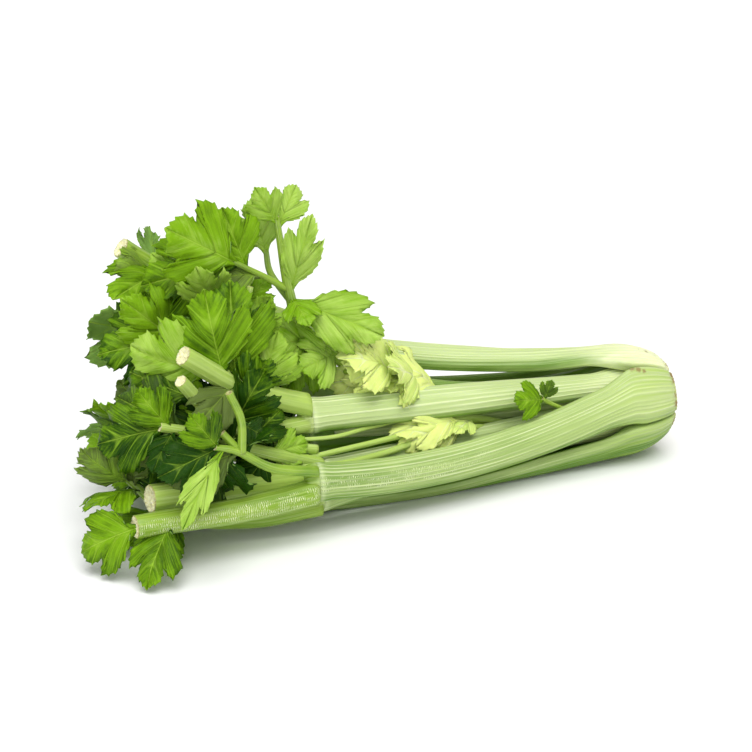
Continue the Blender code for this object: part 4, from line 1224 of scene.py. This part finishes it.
def build_blade(bm, blade, place, tone, rng):
    """A leaf: rows of points from the midrib out to its toothed edge, gently puckered between the veins."""
    right, left = fine_outline(rng), fine_outline(rng)
    outline = [(s, x, y * blade.broad, n) for s, x, y, n in right]
    outline += [(s, x, -y * blade.broad, n) for s, x, y, n in reversed(left[:-1])]
    seed = rng.uniform(0.0, 50.0)
    rows, leaf_map, fan_map = [], [], []
    for j in range(ROWS_ACROSS + 1):
        reach = (j / ROWS_ACROSS) ** 0.85
        row = []
        for s, ox, oy, near in outline:
            x, y = mix(s, ox, reach), oy * reach
            height = blade_height(blade, x, y)
            pucker = 0.020 * min(1.0, near * 1.6) * math.sin(math.pi * min(1.0, reach * 1.05)) ** 0.8
            fold = -0.018 * math.exp(-((y / 0.03) ** 2))
            ruffle = 0.095 * reach**3 * noise.noise(Vector((x * 6.0, y * 6.0, seed)))
            drift = 0.090 * x * noise.noise(Vector((x * 2.5, y * 2.5, seed + 9.0)))
            p = place @ Vector((x, y, height + pucker + fold + ruffle + drift))
            row.append(in_the_box(framed((p.x, p.y, max(p.z, FLOOR_Z + 0.3)))))
        rows.append(row)
        leaf_map.append([(mix(s, ox, reach), oy * reach + 0.5) for s, ox, oy, _ in outline])
        fan_map.append([(near, reach) for *_, near in outline])
    before = set(bm.faces)
    young = max(0.0, rng.uniform(-0.4, 0.15))
    loft(bm, rows, {"tone": tone, "young": young}, {"leaf": leaf_map, "fan": fan_map}, False)
    made = [f for f in bm.faces if f not in before]
    for f in made:
        f.normal_update()
    middle = sum((f.normal * f.calc_area() for f in made), Vector())
    if middle.dot(place.to_3x3() @ Vector((0, 0, 1))) < 0:
        bmesh.ops.reverse_faces(bm, faces=made)


# Operators


class CELERY_OT_crown(bpy.types.Operator):
    """Turns the trimmed root crown"""

    bl_idname = "celery.crown"
    bl_label = "Root crown"

    def execute(self, context):
        look, stalk = context.scene.crown_look, context.scene.stalk_look
        inside = (OUTER.radius - OUTER.wall / 2) * CHORD - GAP
        profile = [(CROWN_X, 0.0), (CROWN_X, inside * rounding(CROWN_X) * 0.6)]
        profile += [(x, inside * rounding(x)) for x in (CROWN_X + 0.4, 194, 198, 201, 204, 206, 208, 209.5)]
        rim = inside * rounding(BUTT_X)
        profile += [(BUTT_X - 1.2, rim * 0.95), (BUTT_X - 0.5, rim * 0.90), (BUTT_X - 0.1, rim * 0.84)]
        profile += [(BUTT_X - 0.1, rim * share) for share in (0.72, 0.60, 0.48, 0.36, 0.24, 0.12, 0.0)]
        bm = bmesh.new()
        line = [bm.verts.new(framed((x, AXIS_Y, AXIS_Z + r))) for x, r in profile]
        edges = [bm.edges.new(pair) for pair in zip(line, line[1:])]
        bmesh.ops.spin(
            bm,
            geom=line + edges,
            cent=framed((0, AXIS_Y, AXIS_Z)),
            axis=(1, 0, 0),
            angle=math.tau,
            steps=96,
            use_merge=True,
        )
        bmesh.ops.remove_doubles(bm, verts=bm.verts[:], dist=1e-6)
        bmesh.ops.recalc_face_normals(bm, faces=bm.faces[:])
        for v in bm.verts:
            if v.co.x > HIGH[0] - 0.0015:
                v.co.x -= 0.0006 * abs(noise.noise(v.co * 260.0)) + 0.0004 * abs(noise.noise(v.co * 900.0))
        finished("root_crown", bm, [crown_finish("root flesh", look, stalk.dried)], "crown", "crown")
        return {"FINISHED"}


class CELERY_OT_stalks(bpy.types.Operator):
    """Draws the ribbed stalks along their routes"""

    bl_idname = "celery.stalks"
    bl_label = "Stalks"

    def execute(self, context):
        look = context.scene.stalk_look
        outer = stalk_finish("outer stalk skin", look, look.green, 0.05)
        wrinkled_with_glints = stalk_finish("wrinkled stalk skin", look, look.green, 0.05, rungs=0.9)
        inner = stalk_finish("inner stalk skin", look, look.green)
        heart = stalk_finish("heart stalk skin", look, look.green, -0.15)
        finishes = {OUTER: outer, INNER: inner, HEART: heart}
        for number, (name, stalk) in enumerate(STALKS.items()):
            skin = wrinkled_with_glints if name == "front" else finishes[stalk.layer]
            build_stalk(name, stalk, number * 3.7, look, skin)
        build_heart(heart)
        return {"FINISHED"}


class CELERY_OT_stems(bpy.types.Operator):
    """Grows the stems that part at each knuckle"""

    bl_idname = "celery.stems"
    bl_label = "Stems"

    def execute(self, context):
        look = context.scene.stalk_look
        skin = stalk_finish("stem skin", look, look.stem, 0.12, 0.55)
        wrinkled_with_glints = stalk_finish(
            "wrinkled stem skin", look, look.stem, 0.12, 0.55, rungs=1.0, lane=(0.60, 0.90), reach=(0.0, -0.05)
        )
        pale = stalk_finish("heart stem skin", look, look.stem, -0.2, 0.6)
        for number, (name, stalk) in enumerate(STALKS.items()):
            seed = number * 3.7
            bm = new_mesh()
            # The stalk's tone carries on to its stems, with the painted shade of the stalks that lie in shadow.
            tone = TONES[name][0]
            build_collar(bm, stalk, seed, look, tone)
            edge = stalk.knuckle[0] - GAP - 0.5
            for k, branch in enumerate(rooted(BRANCHES[name]).values()):
                before = len(bm.faces)
                build_branch(bm, branch, edge, seed + k, tone)
                bm.faces.ensure_lookup_table()
                for face in bm.faces[before:]:
                    face.material_index = 0 if branch.radii[0] > THICK_STEM else 1
            for k, thread in enumerate(THREADS.get(name, ())):
                build_branch(bm, thread, edge, seed + k + 0.5, THREAD_TONE)
            bmesh.ops.recalc_face_normals(bm, faces=bm.faces[:])
            thick, thin = {"lime": (pale, pale), "deep": (pale, pale), "front": (wrinkled_with_glints, skin)}.get(
                name, (skin, skin)
            )
            finished("stems_" + name, bm, [thick, thin], "stalk", "leaves_" + name)
        return {"FINISHED"}


# How each leaf is painted, in the order of the leaves' table, as painted light and shade: 0 dark in painted
# shade, 1 bright green in painted light, 2 pale, for young leaves and for leaves painted as lit through
SHADES = {
    "front": (0.8, 1.9, 0.25, 0.8, 0.7, 0.1, 0.2),
    "rising": (1.75, 1.2, 1.0, 0.6, 1.9, 1.5, 1.6, 1.8, 1.3, 1.8, 1.6),
    "middle": (0.9, 0.6, 0.9, 1.1, 0.5, 1.5, 1.0, 0.2, 0.0, 0.4, 0.7),
    "back": (0.7, 1.1, 1.0, 0.5, 0.6, 0.8, 0.5, 0.7),
    "top": (1.5, 1.3, 1.5, 0.6),
    "tucked": (0.0, 0.8, 0.1, 0.6, 0.1, 0.0, 1.6),
    "front_low": (0.8, 0.9, 0.3, 0.7),
    "back_low": (0.8, 1.0, 0.5, 0.5, 0.1, 0.7, 0.5, 0.6),
    "bottom": (0.8, 0.7, 0.6),
    "lime": (1.2, 1.0, 0.9),
    "deep": (0.9, 1.3, 0.8),
    "sprig": (0.9, 0.7),
}


class CELERY_OT_leaves(bpy.types.Operator):
    """Sets the toothed leaves on their stems"""

    bl_idname = "celery.leaves"
    bl_label = "Leaves"

    def execute(self, context):
        look = context.scene.leaf_look
        string = context.scene.stalk_look.rib
        top = leaf_finish("leaf", look.heart, look.dark, look.bright, look.pale, look.vein)
        under = leaf_finish("leaf underside", look.heart, look.under, look.under, look.pale, look.vein, 0.18)
        pale = leaf_finish("heart leaf", look.heart, look.pale, look.heart, look.heart, string)
        for name in STALKS:
            heart = name in ("lime", "deep")
            branches = rooted(BRANCHES[name])
            leaves = list(zip(seated_as_in_frame(name, BLADES.get(name, ())), SHADES.get(name, ())))
            for blade, shade in FILLERS.get(name, ()):
                root = point_along(branches[blade.branch], blade.along)
                leaves.append(((blade, blade_place(blade, root, (0, 0, 0, 1.0))), shade))
            bm = new_mesh()
            for number, ((blade, place), shade) in enumerate(leaves):
                build_blade(bm, blade, place, shade, random.Random(name + str(number)))
            materials = [pale, pale] if heart else [top, under]
            piece = finished(
                "blades_" + name, bm, materials, "heart_leaf" if heart else "leaf", "leaves_" + name
            )
            wall = piece.modifiers.new("thickness", "SOLIDIFY")
            wall.thickness = look.thickness
            wall.offset = 0.0
            wall.material_offset = 1
        return {"FINISHED"}


class CELERY_OT_stage(bpy.types.Operator):
    """Lays the pale floor and sets the lights and the camera"""

    bl_idname = "celery.stage"
    bl_label = "Stage"

    def execute(self, context):
        look = context.scene.stage_look
        scene = context.scene
        bm = bmesh.new()
        bmesh.ops.create_grid(bm, x_segments=1, y_segments=1, size=FLOOR_REACH)
        mesh = bpy.data.meshes.new("floor")
        bm.to_mesh(mesh)
        bm.free()
        floor = bpy.data.objects.new("floor", mesh)
        scene.collection.objects.link(floor)
        r = Recipe("floor")
        mesh.materials.append(r.done(Base_Color=(*look.floor, 1.0), Roughness=0.7))

        world = bpy.data.worlds.new("sky")
        world.use_nodes = True
        world.node_tree.nodes["Background"].inputs[0].default_value = (1.0, 1.0, 1.0, 1.0)
        world.node_tree.nodes["Background"].inputs[1].default_value = look.sky
        scene.world = world

        scene.view_settings.view_transform = "Standard"
        overhead = bpy.data.lights.new("overhead light", "SUN")
        overhead.energy = look.key
        overhead.angle = math.radians(45.0)
        front = bpy.data.lights.new("front light", "AREA")
        front.energy = look.fill
        front.shape = "DISK"
        front.size = 1.4
        for light, at in ((overhead, (-0.10, -0.55, 1.3)), (front, (-0.9, -1.5, 0.9))):
            holder = bpy.data.objects.new(light.name, light)
            scene.collection.objects.link(holder)
            holder.location = at
            holder.rotation_euler = (-Vector(at)).to_track_quat("-Z", "Y").to_euler()

        azimuth, height = math.radians(-20.0), math.radians(20.0)
        back = Vector(
            (math.sin(azimuth) * math.cos(height), -math.cos(azimuth) * math.cos(height), math.sin(height))
        )
        right = Vector((math.cos(azimuth), math.sin(azimuth), 0.0))
        up = back.cross(right)
        aim = framed((4.0, 0.0, 79.0))
        lens = bpy.data.cameras.new("camera")
        lens.lens = 85.0
        lens.sensor_width = 36.0
        camera = bpy.data.objects.new("camera", lens)
        scene.collection.objects.link(camera)
        turned = Matrix((right, up, back)).transposed().to_4x4()
        camera.matrix_world = Matrix.Translation(aim + back * look.distance) @ turned
        scene.camera = camera
        return {"FINISHED"}


class CELERY_PT_panel(bpy.types.Panel):
    """The head of celery, piece by piece"""

    bl_label = "Celery"
    bl_idname = "CELERY_PT_panel"
    bl_space_type = "VIEW_3D"
    bl_region_type = "UI"
    bl_category = "Celery"

    def draw(self, context):
        scene = context.scene
        groups = (
            (("celery.crown",), scene.crown_look),
            (("celery.stalks", "celery.stems"), scene.stalk_look),
            (("celery.leaves",), scene.leaf_look),
            (("celery.stage",), scene.stage_look),
        )
        for operators, look in groups:
            box = self.layout.box()
            for key in look.__annotations__:
                box.prop(look, key)
            for operator in operators:
                box.operator(operator)


LOOKS = {"crown_look": CrownLook, "stalk_look": StalkLook, "leaf_look": LeafLook, "stage_look": StageLook}
CLASSES = (
    *LOOKS.values(),
    CELERY_OT_crown,
    CELERY_OT_stalks,
    CELERY_OT_stems,
    CELERY_OT_leaves,
    CELERY_OT_stage,
    CELERY_PT_panel,
)


def register():
    for kind in CLASSES:
        bpy.utils.register_class(kind)
    for name, kind in LOOKS.items():
        setattr(bpy.types.Scene, name, PointerProperty(type=kind))


def unregister():
    for name in LOOKS:
        delattr(bpy.types.Scene, name)
    for kind in reversed(CLASSES):
        bpy.utils.unregister_class(kind)


def main():
    register()
    bpy.ops.celery.crown()
    bpy.ops.celery.stalks()
    bpy.ops.celery.stems()
    bpy.ops.celery.leaves()
    bpy.ops.celery.stage()


if __name__ == "__main__":
    main()
